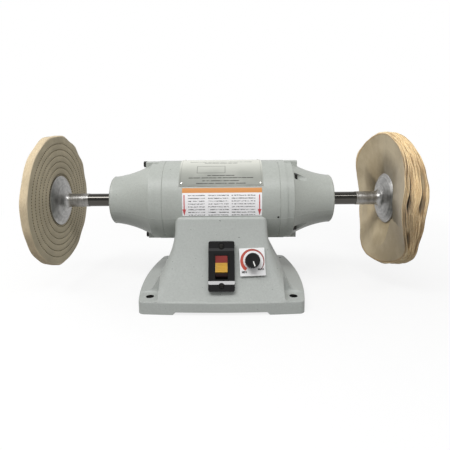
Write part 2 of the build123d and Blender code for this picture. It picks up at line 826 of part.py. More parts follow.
def rivet_bars(gap):
    """Shanks of the nameplate's rivets, from inside the shell's wall to the plate's face."""
    bar = Pos(0, 0, shaft_height + shell_radius - rivet_bite - gap) * Cylinder(
        rivet_shank_radius + gap, rivet_bite + gap + plate_gap + plate_thickness, align=from_below)
    return [turned_to(angle, Pos(x, 0, 0) * bar) for x, angle in rivet_places()]


def nameplate_rivets():
    """Round-headed rivets at the nameplate's corners."""
    face = shaft_height + shell_radius + plate_gap + plate_thickness
    head = Pos(0, 0, face) * Cylinder(rivet_radius, rivet_head, align=from_below)
    head = fillet(head.edges().group_by(Axis.Z)[-1], rivet_round)
    heads = [turned_to(angle, Pos(x, 0, 0) * head) for x, angle in rivet_places()]
    return group(head + bar for head, bar in zip(heads, rivet_bars(0)))


def rotation_label():
    """Printed label on the shell between the nameplate and the saddle."""
    return arc_plate(shell_radius + plate_gap, label_thickness, label_x - label_width / 2,
                     label_x + label_width / 2, label_low_angle, label_high_angle)


# Bearings and seals

def race_cut(radius):
    """Ring of round section on the ball circle."""
    section = Pos(ball_x, ball_circle) * Circle(radius)
    return Pos(0, 0, shaft_height) * revolve(Plane.XZ * section, axis=Axis.X)


def bearing_outer_ring():
    """Outer ring with its raceway, held in the bell's seat."""
    return ring(bearing_outer_radius, outer_ring_bore, bearing_x, bearing_end_x) - race_cut(
        ball_radius + running_gap)


def bearing_inner_ring():
    """Inner ring with its raceway, pressed on the spindle's journal."""
    return ring(inner_ring_radius, journal_radius + press_gap, bearing_x, bearing_end_x) - race_cut(
        ball_radius + running_gap)


def bearing_balls():
    """Balls in their cage."""
    ball = Pos(ball_x, 0, shaft_height + ball_circle) * Sphere(ball_radius)
    pocket = Pos(ball_x, 0, shaft_height + ball_circle) * Sphere(ball_radius + running_gap)
    angles = [i * 360 / ball_count for i in range(ball_count)]
    cage = ring(ball_circle + cage_wall / 2, ball_circle - cage_wall / 2, ball_x - cage_width / 2,
                ball_x + cage_width / 2)
    cage -= [turned_to(angle, pocket) for angle in angles]
    return group([cage] + [turned_to(angle, ball) for angle in angles])


def bearing_spacer():
    """Flat ring between a bearing's outer ring and the end of its seat."""
    return ring(bearing_outer_radius, outer_ring_bore, bearing_end_x, seat_end_x)


def shaft_seal():
    """Seal ring in the bell's end, running on the spindle."""
    return ring(seal_radius, journal_radius + running_gap, seal_x, seal_x + seal_width)


# Spindle

def spindle_shaft():
    """Stepped spindle: rotor seat, journals and arbors."""
    half = Polyline(
        (0, 0), (spindle_half_length, 0), (spindle_half_length, arbor_radius - spindle_chamfer),
        (spindle_half_length - spindle_chamfer, arbor_radius), (arbor_shoulder_x, arbor_radius),
        (arbor_shoulder_x, journal_radius), (bearing_x, journal_radius), (bearing_x, inner_ring_radius),
        (core_half_length + cage_ring_length + fan_blade_length, inner_ring_radius),
        (core_half_length + cage_ring_length + fan_blade_length, rotor_seat_radius), (0, rotor_seat_radius),
        close=True)
    shaft = turned(*half.edges())
    return shaft + left_of(shaft)


def inner_flange():
    """Dished flange with the long hub sleeve that stands on the arbor's shoulder."""
    rim_back = (wheel_face_x - flange_rim_thickness, flange_radius)
    root = (wheel_face_x - flange_rim_thickness - flange_crown, sleeve_radius)
    dish = SagittaArc(rim_back, root, -flange_dish)
    outline = Polyline(
        root, (arbor_shoulder_x, sleeve_radius), (arbor_shoulder_x, arbor_bore), (wheel_face_x, arbor_bore),
        (wheel_face_x, flange_radius), rim_back)
    flange = turned(*dish.edges(), *outline.edges())
    return fillet(flange.edges().filter_by_position(Axis.X, root[0], root[0]), flange_cove)


def outer_flange(hub_thickness):
    """Short dished flange on the outside of a wheel."""
    face = wheel_face_x + hub_thickness
    rim_front = (face + flange_rim_thickness, flange_radius)
    collar = (face + outer_flange_depth, flange_collar_radius)
    dish = SagittaArc(rim_front, collar, flange_dish)
    outline = Polyline(
        collar, (face + outer_flange_depth, arbor_bore), (face, arbor_bore), (face, flange_radius),
        rim_front)
    return turned(*dish.edges(), *outline.edges())


def arbor_nut(hub_thickness):
    """Hexagon nut that clamps a wheel between its flanges."""
    seat = wheel_face_x + hub_thickness + outer_flange_depth
    nut = Pos(seat, 0, shaft_height) * Rot(0, 90, 0) * hex_bar(nut_flats, nut_height)
    corner = nut_flats / math.sqrt(3)
    crown = turned(*Polyline(
        (seat, 0), (seat, corner), (seat + nut_height - nut_chamfer, corner),
        (seat + nut_height, corner - 2 * nut_chamfer), (seat + nut_height, 0), close=True).edges())
    return (nut & crown) - disc(arbor_bore, seat, seat + nut_height)


def sewn_wheel():
    """Firm cloth wheel that swells round its inner flange, with rows of stitching drawn into both faces."""
    inner = wheel_face_x - sewn_swell
    outer = wheel_face_x + sewn_hub_thickness
    rim = sewn_wheel_radius
    clamp = flange_radius + slip_gap
    wheel = ring(rim, arbor_bore, inner, outer)
    wheel = fillet(wheel.edges().filter_by(GeomType.CIRCLE).group_by(SortBy.RADIUS)[-1], sewn_rim_round)
    wheel -= turned(*Polyline((inner, 0), (inner, clamp + sewn_swell_run), (wheel_face_x, clamp),
                              (wheel_face_x, 0), close=True).edges())
    for i in range(stitch_count):
        radius = rim - stitch_edge_margin - i * stitch_pitch
        for face, inward in ((inner, 1), (outer, -1)):
            row = Polyline((face, radius - stitch_width / 2), (face + inward * stitch_depth, radius),
                           (face, radius + stitch_width / 2), close=True)
            wheel -= turned(*row.edges())
    return wheel


def loose_section(angle):
    """Section of the loose wheel at an angle above the front, on the plane through the spindle."""
    wave = math.cos(math.radians(loose_wave_count * angle))
    inner = wheel_face_x
    outer = wheel_face_x + loose_hub_thickness
    rim_inner = inner - loose_inner_lean - loose_inner_wave * wave
    rim_outer = outer + loose_outer_lean - loose_outer_wave * wave
    clamp = flange_radius + flange_rim_thickness
    rim = loose_wheel_radius
    middle = (clamp + rim) / 2
    corners = [
        (arbor_radius / 2, inner), (clamp, inner), (middle, (inner + rim_inner) / 2),
        (rim - loose_rim_round, rim_inner), (rim, rim_inner + loose_rim_round),
        (rim, rim_outer - loose_rim_round), (rim - loose_rim_round, rim_outer),
        (middle, (outer + rim_outer) / 2), (clamp, outer), (arbor_radius / 2, outer)]
    turn = math.radians(angle)
    radial = (0, -math.cos(turn), math.sin(turn))
    plane = Plane((0, 0, shaft_height), x_dir=radial, z_dir=Vector(radial).cross(Vector(1, 0, 0)))
    return plane * make_face(Polyline(*corners, close=True))


def loose_wheel():
    """Loose cloth wheel whose plies splay and wave towards the rim."""
    step = 180 / loose_stations
    halves = [loft([loose_section(start + i * step) for i in range(loose_stations + 1)])
              for start in (0, 180)]
    return halves[0] + halves[1] - disc(arbor_bore, wheel_face_x, wheel_face_x + loose_hub_thickness)


# Switch

def switch_body_width():
    """Width of the switch's case round its rocker."""
    return rocker_width + 2 * rocker_side_gap + 2 * switch_body_wall


def rocker_opening(height):
    """Opening that the rocker tips in."""
    return Pos(0, rocker_offset, 0) * Box(
        rocker_width + 2 * rocker_side_gap, rocker_length + 2 * rocker_end_gap, height)


def switch_bezel():
    """Black plate with a hollow across its middle, a frame round the rocker and wells for its two screws."""
    bezel = Box(bezel_width, bezel_length, bezel_height, align=from_below)
    bezel = fillet(bezel.edges().filter_by(Axis.Z), bezel_round)
    bezel = fillet(bezel.faces().sort_by(Axis.Z)[-1].edges(), bezel_edge_round)
    floor = bezel_height - dip_depth
    dip = Polyline((dip_foot_s, bezel_height), (dip_foot_s + dip_foot_slope, floor),
                   (dip_top_s - dip_top_slope, floor), (dip_top_s, bezel_height), close=True)
    bezel -= extrude(Plane.YZ * make_face(dip), bezel_width, both=True)
    frame = Box(rocker_width + 2 * (rocker_side_gap + rocker_frame_width),
                rocker_length + 2 * (rocker_end_gap + rocker_frame_width), floor + rocker_frame_height,
                align=from_below)
    frame = chamfer(frame.faces().sort_by(Axis.Z)[-1].edges(), rocker_frame_chamfer)
    bezel += Pos(0, rocker_offset, 0) * frame
    bezel -= Pos(0, 0, bezel_height) * rocker_opening(2 * bezel_height)
    for s in (-switch_screw_span / 2, switch_screw_span / 2):
        well = Pos(0, s, bezel_plate) * Cylinder(switch_well_radius, bezel_height, align=from_below)
        bezel = bezel - well - Pos(0, s, 0) * Cylinder(switch_screw_radius + running_gap, bezel_height)
    return switch_seat * bezel


def switch_screws():
    """Pan-head screws that hold the bezel to the panel."""
    screw = Cylinder(switch_screw_head_radius, switch_screw_head, align=from_below)
    screw = fillet(screw.edges().group_by(Axis.Z)[-1], switch_screw_round)
    slot = Box(2 * switch_screw_head_radius, switch_screw_slot, switch_screw_head, align=from_below)
    screw -= Pos(0, 0, switch_screw_head / 2) * slot
    screw += Cylinder(switch_screw_radius, bezel_plate + pedestal_wall, align=from_above)
    return group(switch_seat * Pos(0, s, bezel_plate) * screw
                 for s in (-switch_screw_span / 2, switch_screw_span / 2))


def switch_body():
    """Case of the switch behind the panel, with the well that the rocker sits in."""
    body = Box(switch_body_width(), switch_body_length, switch_body_depth, align=from_above)
    well = rocker_opening(2 * switch_well_depth)
    pin = Pos(0, rocker_offset, -rocker_pivot_depth) * Cylinder(
        rocker_pin_radius + press_gap, switch_body_width(), rotation=(0, 90, 0))
    return switch_seat * (body - well - pin)


def switch_terminals():
    """Blade terminals on the back of the switch."""
    blade = Pos(0, 0, -switch_body_depth) * Box(
        terminal_thickness, terminal_width, terminal_length, align=from_above)
    return group(switch_seat * Pos(x, s, 0) * blade for x, s in grid(terminal_span_x, terminal_span_s))


def rocker_pin():
    """Pin that the rocker tips on."""
    return switch_seat * Pos(0, rocker_offset, -rocker_pivot_depth) * Cylinder(
        rocker_pin_radius, switch_body_width() - switch_body_wall, rotation=(0, 90, 0))


def key_low_s():
    """Low end of the safety key, up the rocker from its pin."""
    return key_margin - rocker_length / 2


def switch_rocker():
    """Red rocker with a seat and pocket for the safety key in its lower half."""
    half = rocker_length / 2
    key_end = key_low_s() + key_length + slip_gap
    foot = rocker_foot_length / 2
    shoulder = half - rocker_dip / 2
    side = Polyline(
        (half, rocker_end_height), (key_end, rocker_end_height - rocker_dip), (key_end, key_seat_height),
        (key_low_s(), key_seat_height), (-half, key_seat_height - rocker_toe_drop), (-shoulder, 0),
        (-foot, -rocker_foot), (foot, -rocker_foot), (shoulder, 0), close=True)
    rocker = extrude(Plane.YZ * make_face(side), rocker_width / 2, both=True)
    rocker -= Cylinder(rocker_pin_radius + running_gap, rocker_width, rotation=(0, 90, 0))
    pocket = Box(key_tongue_width + 2 * slip_gap, key_tongue_length + 2 * slip_gap,
                 key_tongue_depth + slip_gap, align=from_above)
    return rocker_seat * (rocker - Pos(0, tongue_s(), key_seat_height) * pocket)


def tongue_s():
    """Middle of the safety key's tongue, up the rocker from its pin."""
    return key_low_s() + key_tongue_inset + key_tongue_length / 2


def safety_key():
    """Yellow pull-out key with a framed face and a tongue in the rocker."""
    middle = key_low_s() + key_length / 2
    block = Pos(0, middle, 0) * Box(key_width, key_length, key_height, align=from_below)
    face = Pos(0, middle, key_height) * Box(
        key_width - 2 * key_border, key_length - 2 * key_border, 2 * key_face_recess)
    tongue = Pos(0, tongue_s(), 0) * Box(
        key_tongue_width, key_tongue_length, key_tongue_depth - slip_gap, align=from_above)
    return rocker_seat * Pos(0, 0, key_seat_height + slip_gap) * (block - face + tongue)


# Speed dial

def dial_plate():
    """White dial plate on the panel round the knob."""
    plate = Rot(0, 0, dial_turn) * Box(dial_width, dial_height, dial_thickness, align=from_below)
    plate = fillet(plate.edges().filter_by(Axis.Z), dial_round)
    plate = Pos(0, -dial_drop, 0) * plate
    return knob_seat * (plate - Cylinder(pot_bushing_radius + running_gap, 2 * dial_thickness))


def potentiometer_body():
    """Round potentiometer behind the panel, with its threaded bushing."""
    can = Pos(0, 0, -pedestal_wall) * Cylinder(pot_radius, pot_depth, align=from_above)
    bushing = Pos(0, 0, -pedestal_wall) * Cylinder(
        pot_bushing_radius, pedestal_wall + pot_bushing_length, align=from_below)
    depth = pedestal_wall + pot_bushing_length + pot_shaft_bite
    bore = Cylinder(pot_shaft_radius + running_gap, depth, align=from_above)
    bore = Pos(0, 0, pot_bushing_length) * bore
    return knob_seat * (can + bushing - bore)


def potentiometer_nut():
    """Flat nut that holds the potentiometer and the dial plate to the panel."""
    nut = hex_bar(pot_nut_flats, pot_nut_height) - Cylinder(
        pot_bushing_radius + press_gap, pot_nut_height, align=from_below)
    return knob_seat * Pos(0, 0, dial_thickness) * nut


def potentiometer_shaft():
    """Shaft that the knob is pressed on."""
    low = -pedestal_wall - pot_shaft_bite + slip_gap
    return knob_seat * Pos(0, 0, low) * Cylinder(pot_shaft_radius, pot_shaft_length - low, align=from_below)


def knob_blank():
    """Tapered outside of the knob, before its flutes and recesses."""
    low = dial_thickness + knob_gap
    top = low + knob_height
    side = Polyline((0, low), (knob_radius, low), (knob_top_radius, top), (0, top), close=True)
    blank = revolve(Plane.XZ * make_face(side), axis=Axis.Z)
    return fillet(blank.edges().group_by(Axis.Z)[-1], knob_edge_round)


def pointer_bar(gap):
    """Straight pointer in the knob's face, as a bar up from its seat."""
    length = knob_top_radius - knob_edge_round - pointer_margin - pointer_start
    bar = Box(pointer_width + gap, length + gap, pointer_depth + pointer_proud,
              align=(Align.CENTER, Align.CENTER, Align.MIN))
    top = dial_thickness + knob_gap + knob_height
    return Rot(0, 0, -pointer_angle) * Pos(0, pointer_start + length / 2, top - pointer_depth) * bar


def speed_knob():
    """Fluted knob with a recess over the nut and a slot for the pointer."""
    low = dial_thickness + knob_gap
    flute = Pos(knob_radius + knob_flute_offset, 0, low) * Cylinder(
        knob_flute_radius, knob_height - 2 * knob_edge_round, align=from_below)
    knob = knob_blank() - [Rot(0, 0, i * 360 / knob_flute_count) * flute for i in range(knob_flute_count)]
    knob -= Pos(0, 0, low) * Cylinder(knob_skirt_radius, knob_skirt_depth, align=from_below)
    knob -= Cylinder(pot_shaft_radius + press_gap, pot_shaft_length, align=from_below)
    return knob_seat * (knob - pointer_bar(press_gap))


def knob_pointer():
    """White pointer set into the knob's face."""
    return knob_seat * pointer_bar(0)


# Speed board and wiring

def control_board():
    """Printed board on standoffs over the cover."""
    return Pos(0, board_y, board_z) * Box(board_width, board_length, board_thickness, align=from_below)


def standoff_places():
    """Corners of the board where its standoffs stand."""
    width = board_width - 2 * standoff_inset
    length = board_length - 2 * standoff_inset
    return [(x, y + board_y) for x, y in grid(width, length)]


def board_standoffs():
    """Posts from the cover to the board."""
    post = Cylinder(standoff_radius, board_height, align=from_below)
    return group(Pos(x, y, cover_top_z) * post for x, y in standoff_places())


def heat_sink():
    """Finned heat sink standing on the board."""
    sink = Box(heat_sink_width, heat_sink_back, heat_sink_height, align=(Align.CENTER, Align.MIN, Align.MIN))
    pitch = (heat_sink_width - heat_sink_fin) / (heat_sink_fins - 1)
    fin = Box(heat_sink_fin, heat_sink_depth, heat_sink_height, align=(Align.MIN, Align.MIN, Align.MIN))
    sink += [Pos(i * pitch - heat_sink_width / 2, 0, 0) * fin for i in range(heat_sink_fins)]
    return Pos(heat_sink_x, heat_sink_y - heat_sink_depth / 2, board_top_z) * sink


def board_capacitors():
    """Two upright capacitors on the board."""
    can = Cylinder(capacitor_radius, capacitor_height, align=from_below)
    can = fillet(can.edges().group_by(Axis.Z)[-1], capacitor_round)
    return group(Pos(x, capacitor_y, board_top_z) * can for x in capacitor_xs)


def terminal_block():
    """Terminal block on the board under the motor's leads."""
    block = Box(terminal_block_width, terminal_block_length, terminal_block_height, align=from_below)
    pitch = terminal_block_length / terminal_block_slots
    mouth = Pos(terminal_block_width / 2, 0, terminal_block_height / 2) * Box(
        2 * terminal_mouth_depth, terminal_mouth_width, terminal_mouth_height)
    first = (pitch - terminal_block_length) / 2
    block -= [Pos(0, first + i * pitch, 0) * mouth for i in range(terminal_block_slots)]
    return Pos(lead_x, 0, board_top_z) * block


def motor_leads():
    """Sleeved leads from the end turns down through the pad to the terminal block."""
    low = board_top_z + terminal_block_height
    coil_z = shaft_height - (stator_bore + slot_depth + coil_overhang - slot_liner)
    return Pos(lead_x, 0, low) * Cylinder(lead_radius, coil_z - slip_gap - low, align=from_below)


def lead_grommet():
    """Rubber ring round the leads in the deck's hole."""
    grommet = Cylinder(lead_hole_radius - press_gap, deck_thickness, align=from_below)
    grommet -= Cylinder(lead_radius + slip_gap, deck_thickness, align=from_below)
    return Pos(lead_x, 0, deck_z) * grommet


def control_wires():
    """Wires from the upper switch terminals down to the board's front edge."""
    wires = []
    for x in (-terminal_span_x / 2, terminal_span_x / 2):
        blade = switch_seat * Pos(x, terminal_span_s / 2, -switch_body_depth - terminal_length)
        start = blade.position
        along = -front_panel.z_dir
        board_edge = board_y - board_length / 2 + standoff_inset
        low = Vector(start.X, board_edge, board_top_z)
        turn = start + along * ((board_edge - start.Y) / along.Y)
        path = FilletPolyline(start, turn, low, radius=wire_bend)
        section = Plane(start, z_dir=along) * Circle(wire_radius)
        wires.append(sweep(section, path))
    return group(wires)


# Cord gland

def cord_gland():
    """Gland through the rear panel: thread, hexagon and cap round the cord's bore."""
    gland = Cylinder(gland_thread_radius, pedestal_wall + gland_thread_length, align=from_above)
    gland += hex_bar(gland_flats, gland_hex)
    cap = Pos(0, 0, gland_hex) * Cylinder(gland_cap_radius, gland_cap_length, align=from_below)
    gland += fillet(cap.edges().group_by(Axis.Z)[-1], gland_cap_round)
    length = gland_thread_length + pedestal_wall + gland_hex + gland_cap_length
    bore = Pos(0, 0, gland_hex + gland_cap_length) * Cylinder(gland_bore, length, align=from_above)
    return gland_seat * (gland - bore)


def gland_nut():
    """Nut that holds the gland from inside the panel."""
    nut = hex_bar(gland_nut_flats, gland_nut_height)
    nut -= Cylinder(gland_thread_radius + running_gap, gland_nut_height, align=from_below)
    return gland_seat * Pos(0, 0, -pedestal_wall - gland_nut_height) * nut


def pieces():
    """Every piece of the machine under the name of its node."""
    named = {
        "base_casting": base_casting(), "base_cover": base_cover(), "cover_screws": cover_screws(),
        "motor_shell": motor_shell(), "left_end_bell": left_of(end_bell(False)),
        "right_end_bell": end_bell(True), "through_bolts": through_bolts(), "lug_bolts": lug_bolts(),
        "seam_screws": seam_screws(), "pad_bolts": pad_bolts(), "pad_washers": pad_washers(),
        "stator_core": stator_core(), "stator_windings": stator_windings(),
        "rotor_core": rotor_core(), "rotor_cage": rotor_cage(), "spindle_shaft": spindle_shaft(),
        "nameplate": nameplate(), "nameplate_rivets": nameplate_rivets(),
        "rotation_label": rotation_label(),
        "bearing_shim": left_of(bearing_spacer()), "preload_washer": bearing_spacer(),
        "left_buffing_wheel": left_of(sewn_wheel()), "right_buffing_wheel": loose_wheel(),
        "left_outer_flange": left_of(outer_flange(sewn_hub_thickness)),
        "right_outer_flange": outer_flange(loose_hub_thickness),
        "left_arbor_nut": left_of(arbor_nut(sewn_hub_thickness)),
        "right_arbor_nut": arbor_nut(loose_hub_thickness),
        "switch_bezel": switch_bezel(), "switch_screws": switch_screws(), "switch_body": switch_body(),
        "switch_terminals": switch_terminals(), "rocker_pin": rocker_pin(),
        "switch_rocker": switch_rocker(), "safety_key": safety_key(),
        "dial_plate": dial_plate(), "speed_knob": speed_knob(),
        "knob_pointer": knob_pointer(), "potentiometer_body": potentiometer_body(),
        "potentiometer_nut": potentiometer_nut(), "potentiometer_shaft": potentiometer_shaft(),
        "control_board": control_board(), "board_standoffs": board_standoffs(), "heat_sink": heat_sink(),
        "board_capacitors": board_capacitors(), "terminal_block": terminal_block(),
        "motor_leads": motor_leads(), "lead_grommet": lead_grommet(), "control_wires": control_wires(),
        "cord_gland": cord_gland(), "gland_nut": gland_nut(),
    }
    both_sides = {
        "inner_flange": inner_flange(), "shaft_seal": shaft_seal(),
        "bearing_outer_ring": bearing_outer_ring(), "bearing_inner_ring": bearing_inner_ring(),
        "bearing_balls": bearing_balls(),
    }
    for name, piece in both_sides.items():
        named["right_" + name] = piece
        named["left_" + name] = left_of(piece)
    return named


os.makedirs("parts", exist_ok=True)
for name, piece in pieces().items():
    export_step(piece, "parts/" + name + ".step")
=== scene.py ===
import json
import logging
import math
from abc import ABC, abstractmethod
from dataclasses import dataclass
from enum import Enum
from typing import Iterable, Optional, Sequence, Union

import bmesh
import bpy
from mathutils import Matrix, Vector, noise


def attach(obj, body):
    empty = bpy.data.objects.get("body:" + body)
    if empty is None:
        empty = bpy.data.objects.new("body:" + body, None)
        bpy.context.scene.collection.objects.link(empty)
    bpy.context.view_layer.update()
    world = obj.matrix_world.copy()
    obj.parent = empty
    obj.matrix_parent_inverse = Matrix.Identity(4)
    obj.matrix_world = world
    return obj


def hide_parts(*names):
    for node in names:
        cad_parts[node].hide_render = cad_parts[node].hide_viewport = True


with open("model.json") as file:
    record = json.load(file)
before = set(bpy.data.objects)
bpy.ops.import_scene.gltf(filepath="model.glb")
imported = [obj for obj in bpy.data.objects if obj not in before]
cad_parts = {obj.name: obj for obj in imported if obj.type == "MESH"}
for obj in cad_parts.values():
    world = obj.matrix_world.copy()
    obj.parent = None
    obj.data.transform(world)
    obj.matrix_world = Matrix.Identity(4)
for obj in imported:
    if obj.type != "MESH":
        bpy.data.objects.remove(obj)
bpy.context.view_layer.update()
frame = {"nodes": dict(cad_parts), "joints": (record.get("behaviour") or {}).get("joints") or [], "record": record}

SHAFT_Z = 0.142
FULL_TURN = 2 * math.pi
WHITE = (1.0, 1.0, 1.0, 1.0)

# Ranges of a noise pattern, from the steepest change of tone to the gentlest
MIDDLE = (0.3, 0.7)
BROAD = (0.25, 0.75)
WIDE = (0.2, 0.8)

log = logging.getLogger("buffing_machine")

Socket = bpy.types.NodeSocket
Colour = tuple[float, float, float, float]
Point = tuple[float, float, float]
Pair = tuple[float, float]
Waves = tuple[Pair, ...]
Value = Union[Socket, float, Colour, Point, None]


class Body(Enum):
    """Bodies of the machine that pieces ride on."""

    MACHINE = "machine"
    SPINDLE = "spindle"
    KEY = "key"


class Side(Enum):
    """Ends of the spindle, as signs along x."""

    LEFT = -1
    RIGHT = 1


class Ramp(Enum):
    """Ways to pass from one end of a range to the other."""

    EVEN = "LINEAR"
    SOFT = "SMOOTHSTEP"


def srgb(red: int, green: int, blue: int) -> Colour:
    """Turns a screen colour into the linear one that shaders use.

    Args:
        red, green, blue: Screen values from 0 to 255.

    Returns:
        The linear colour with full alpha.
    """
    def linear(value: int) -> float:
        """Gives one channel's linear value."""
        share = value / 255
        return share / 12.92 if share <= 0.04045 else ((share + 0.055) / 1.055) ** 2.4

    return linear(red), linear(green), linear(blue), 1.0


def shade(colour: Colour, factor: float) -> Colour:
    """Gives a lighter or darker shade of a colour."""
    return colour[0] * factor, colour[1] * factor, colour[2] * factor, 1.0


def grey(level: float) -> Colour:
    """Gives a neutral colour of a linear level."""
    return level, level, level, 1.0


@dataclass(frozen=True)
class PanelPlane:
    """Place on the sloped front panel, with across along x and up the slope."""

    centre: Vector
    normal: Vector

    @property
    def up(self) -> Vector:
        """Direction up the slope."""
        return self.normal.cross(Vector((1, 0, 0)))

    def matrix(self, across: float, up: float, out: float, turn: float = 0.0) -> Matrix:
        """Gives the transform that sets a flat shape on the panel.

        Args:
            across, up, out: Place from the centre in metres.
            turn: Turn in the panel's plane in radians.

        Returns:
            The matrix from the shape's own axes.
        """
        place = self.centre + Vector((across, 0, 0)) + self.up * up + self.normal * out
        axes = Matrix((Vector((1, 0, 0)), self.up, self.normal)).transposed().to_4x4()
        return Matrix.Translation(place) @ axes @ Matrix.Rotation(turn, 4, "Z")


def joint(name: str) -> PanelPlane:
    """Gives a plane at a joint of the frame, square to the joint's axis."""
    found = next(item for item in frame["joints"] if item["name"] == name)
    return PanelPlane(Vector(found.get("pos_m", (0, 0, 0))), Vector(found["axis"]))


class Tree:
    """Lays out nodes in the tree of a material or a world."""

    def __init__(self, node_tree: bpy.types.NodeTree) -> None:
        """Empties the tree.

        Args:
            node_tree: Tree that takes the nodes.
        """
        self.nodes = node_tree.nodes
        self.links = node_tree.links
        self.nodes.clear()

    def fill(self, socket: Socket, value: Value) -> None:
        """Links or sets one input.

        Args:
            socket: The input.
            value: Socket to link, constant to set, or None to leave it as it is.
        """
        if isinstance(value, bpy.types.NodeSocket):
            self.links.new(value, socket)
        elif value is not None:
            socket.default_value = value

    def node(self, kind: str, inputs: dict[Union[str, int], Value],
             **options: object) -> bpy.types.Node:
        """Adds one node.

        Args:
            kind: Node type without its ShaderNode prefix.
            inputs: Values or sockets by input name or index.
            options: Settings of the node itself.

        Returns:
            The new node.
        """
        made = self.nodes.new("ShaderNode" + kind)
        for key, option in options.items():
            setattr(made, key, option)
        for key, value in inputs.items():
            self.fill(made.inputs[key], value)
        return made

    def math(self, operation: str, first: Value, second: Value = None,
             third: Value = None) -> Socket:
        """Adds a math node and gives its result."""
        inputs = {0: first, 1: second, 2: third}
        return self.node("Math", inputs, operation=operation).outputs[0]

    def product(self, *factors: Value) -> Socket:
        """Multiplies values.

        Args:
            factors: Two or more values.

        Returns:
            Their product.
        """
        result = factors[0]
        for factor in factors[1:]:
            result = self.math("MULTIPLY", result, factor)
        return result

    def most(self, first: Value, second: Value) -> Socket:
        """Gives the larger of two values."""
        return self.math("MAXIMUM", first, second)

    def less(self, first: Value, second: Value) -> Socket:
        """Takes the second value from the first."""
        return self.math("SUBTRACT", first, second)

    def diagonal(self, first: Value, second: Value) -> Socket:
        """Gives the length of two sides' diagonal."""
        squares = (self.math("POWER", side, 2.0) for side in (first, second))
        return self.math("SQRT", self.math("ADD", *squares))

    def wave(self, value: Value, pitch: float) -> Socket:
        """Gives a wave from 0 to 1 that repeats at a pitch."""
        swing = self.math("SINE", self.product(value, FULL_TURN / pitch))
        return self.math("MULTIPLY_ADD", swing, 0.5, 0.5)

    def split(self, vector: Socket) -> tuple[Socket, Socket, Socket]:
        """Gives a vector's three parts."""
        parts = self.node("SeparateXYZ", {0: vector}).outputs
        return parts[0], parts[1], parts[2]

    def joined(self, x: Value, y: Value, z: Value) -> Socket:
        """Gives a vector of three parts."""
        return self.node("CombineXYZ", {0: x, 1: y, 2: z}).outputs[0]

    def span(self, value: Value, low: float, high: float, start: Value = 0.0, end: Value = 1.0,
             ramp: Ramp = Ramp.SOFT) -> Socket:
        """Maps a range on another and holds its ends.

        Args:
            value: Value to map.
            low, high: Bounds of its range.
            start, end: Results at the two bounds.
            ramp: Way to pass between them.

        Returns:
            The mapped value.
        """
        inputs = {"Value": value, "From Min": low, "From Max": high,
                  "To Min": start, "To Max": end}
        return self.node("MapRange", inputs, interpolation_type=ramp.value).outputs[0]

    def within(self, value: Value, bound: float, soft: float) -> Socket:
        """Gives 1 up to a bound and 0 past its soft edge."""
        return self.span(value, bound, bound + soft, 1.0, 0.0)

    def band(self, value: Value, low: float, high: float, soft: float) -> Socket:
        """Gives 1 between two bounds and 0 outside, with soft edges."""
        return self.product(self.span(value, low - soft, low), self.within(value, high, soft))

    def mix(self, factor: Value, first: Value, second: Value) -> Socket:
        """Mixes two colours."""
        inputs = {0: factor, 6: first, 7: second}
        return self.node("Mix", inputs, data_type="RGBA").outputs[2]

    def mottled(self, pattern: Value, colour: Colour, dark: float, light: float) -> Socket:
        """Varies a colour between a dark and a light shade by a pattern."""
        return self.mix(self.span(pattern, *MIDDLE), shade(colour, dark), shade(colour, light))


class FinishTree(Tree):
    """Lays out the shader nodes of one finish."""

    def __init__(self, name: str) -> None:
        """Starts a material with a principled shader.

        Args:
            name: Name of the new material.
        """
        self.material = bpy.data.materials.new(name)
        self.material.use_nodes = True
        super().__init__(self.material.node_tree)
        self.output = self.node("OutputMaterial", {})
        self.shader = self.node("BsdfPrincipled", {})
        self.point = self.node("TexCoord", {}).outputs["Object"]
        self.show(self.shader)

    def show(self, shader: bpy.types.Node) -> None:
        """Makes a shader the one that the surface shows."""
        self.links.new(shader.outputs[0], self.output.inputs[0])

    def shader_inputs(self, **inputs: Value) -> None:
        """Fills inputs of the principled shader, named with underscores for spaces."""
        for key, value in inputs.items():
            self.fill(self.shader.inputs[key.replace("_", " ")], value)

    def stretched(self, scale: Point) -> Socket:
        """Gives the object's coordinates scaled along each axis."""
        return self.node("Mapping", {"Vector": self.point, "Scale": scale}).outputs[0]

    def noise(self, scale: float, detail: float = 3.0, roughness: float = 0.5,
              vector: Value = None) -> Socket:
        """Adds a noise texture.

        Args:
            scale: Cells per metre.
            detail: Octaves.
            roughness: Share that each octave keeps.
            vector: Coordinates, or None for the object's own.

        Returns:
            The noise's value.
        """
        inputs = {"Vector": vector or self.point, "Scale": scale, "Detail": detail,
                  "Roughness": roughness}
        return self.node("TexNoise", inputs).outputs[0]

    def bump(self, height: Value, depth: float, strength: float = 0.5,
             under: Value = None) -> Socket:
        """Adds a bump.

        Args:
            height: Height from 0 to 1.
            depth: Depth of that height in metres.
            strength: Share of the bump that shows.
            under: Normal that the bump is laid on.

        Returns:
            The bumped normal.
        """
        inputs = {"Strength": strength, "Distance": depth, "Height": height, "Normal": under}
        return self.node("Bump", inputs).outputs[0]

    def about_spindle(self) -> tuple[Socket, Socket, Socket]:
        """Finds where a place of the surface lies about the spindle.

        Returns:
            Station along the spindle, radius, and angle above the front in degrees.
        """
        x, y, z = self.split(self.point)
        up = self.less(z, SHAFT_Z)
        front = self.product(y, -1.0)
        angle = self.math("DEGREES", self.math("ARCTAN2", up, front))
        return x, self.diagonal(up, y), angle

    def along(self, way: Vector, start: Vector) -> Socket:
        """Measures the surface along a direction that is square to x.

        Args:
            way: The direction, of unit length.
            start: Place to measure from.

        Returns:
            The distance along the direction in metres.
        """
        _, y, z = self.split(self.point)
        reach = self.math("ADD", self.product(y, way.y), self.product(z, way.z))
        return self.less(reach, way.dot(start))


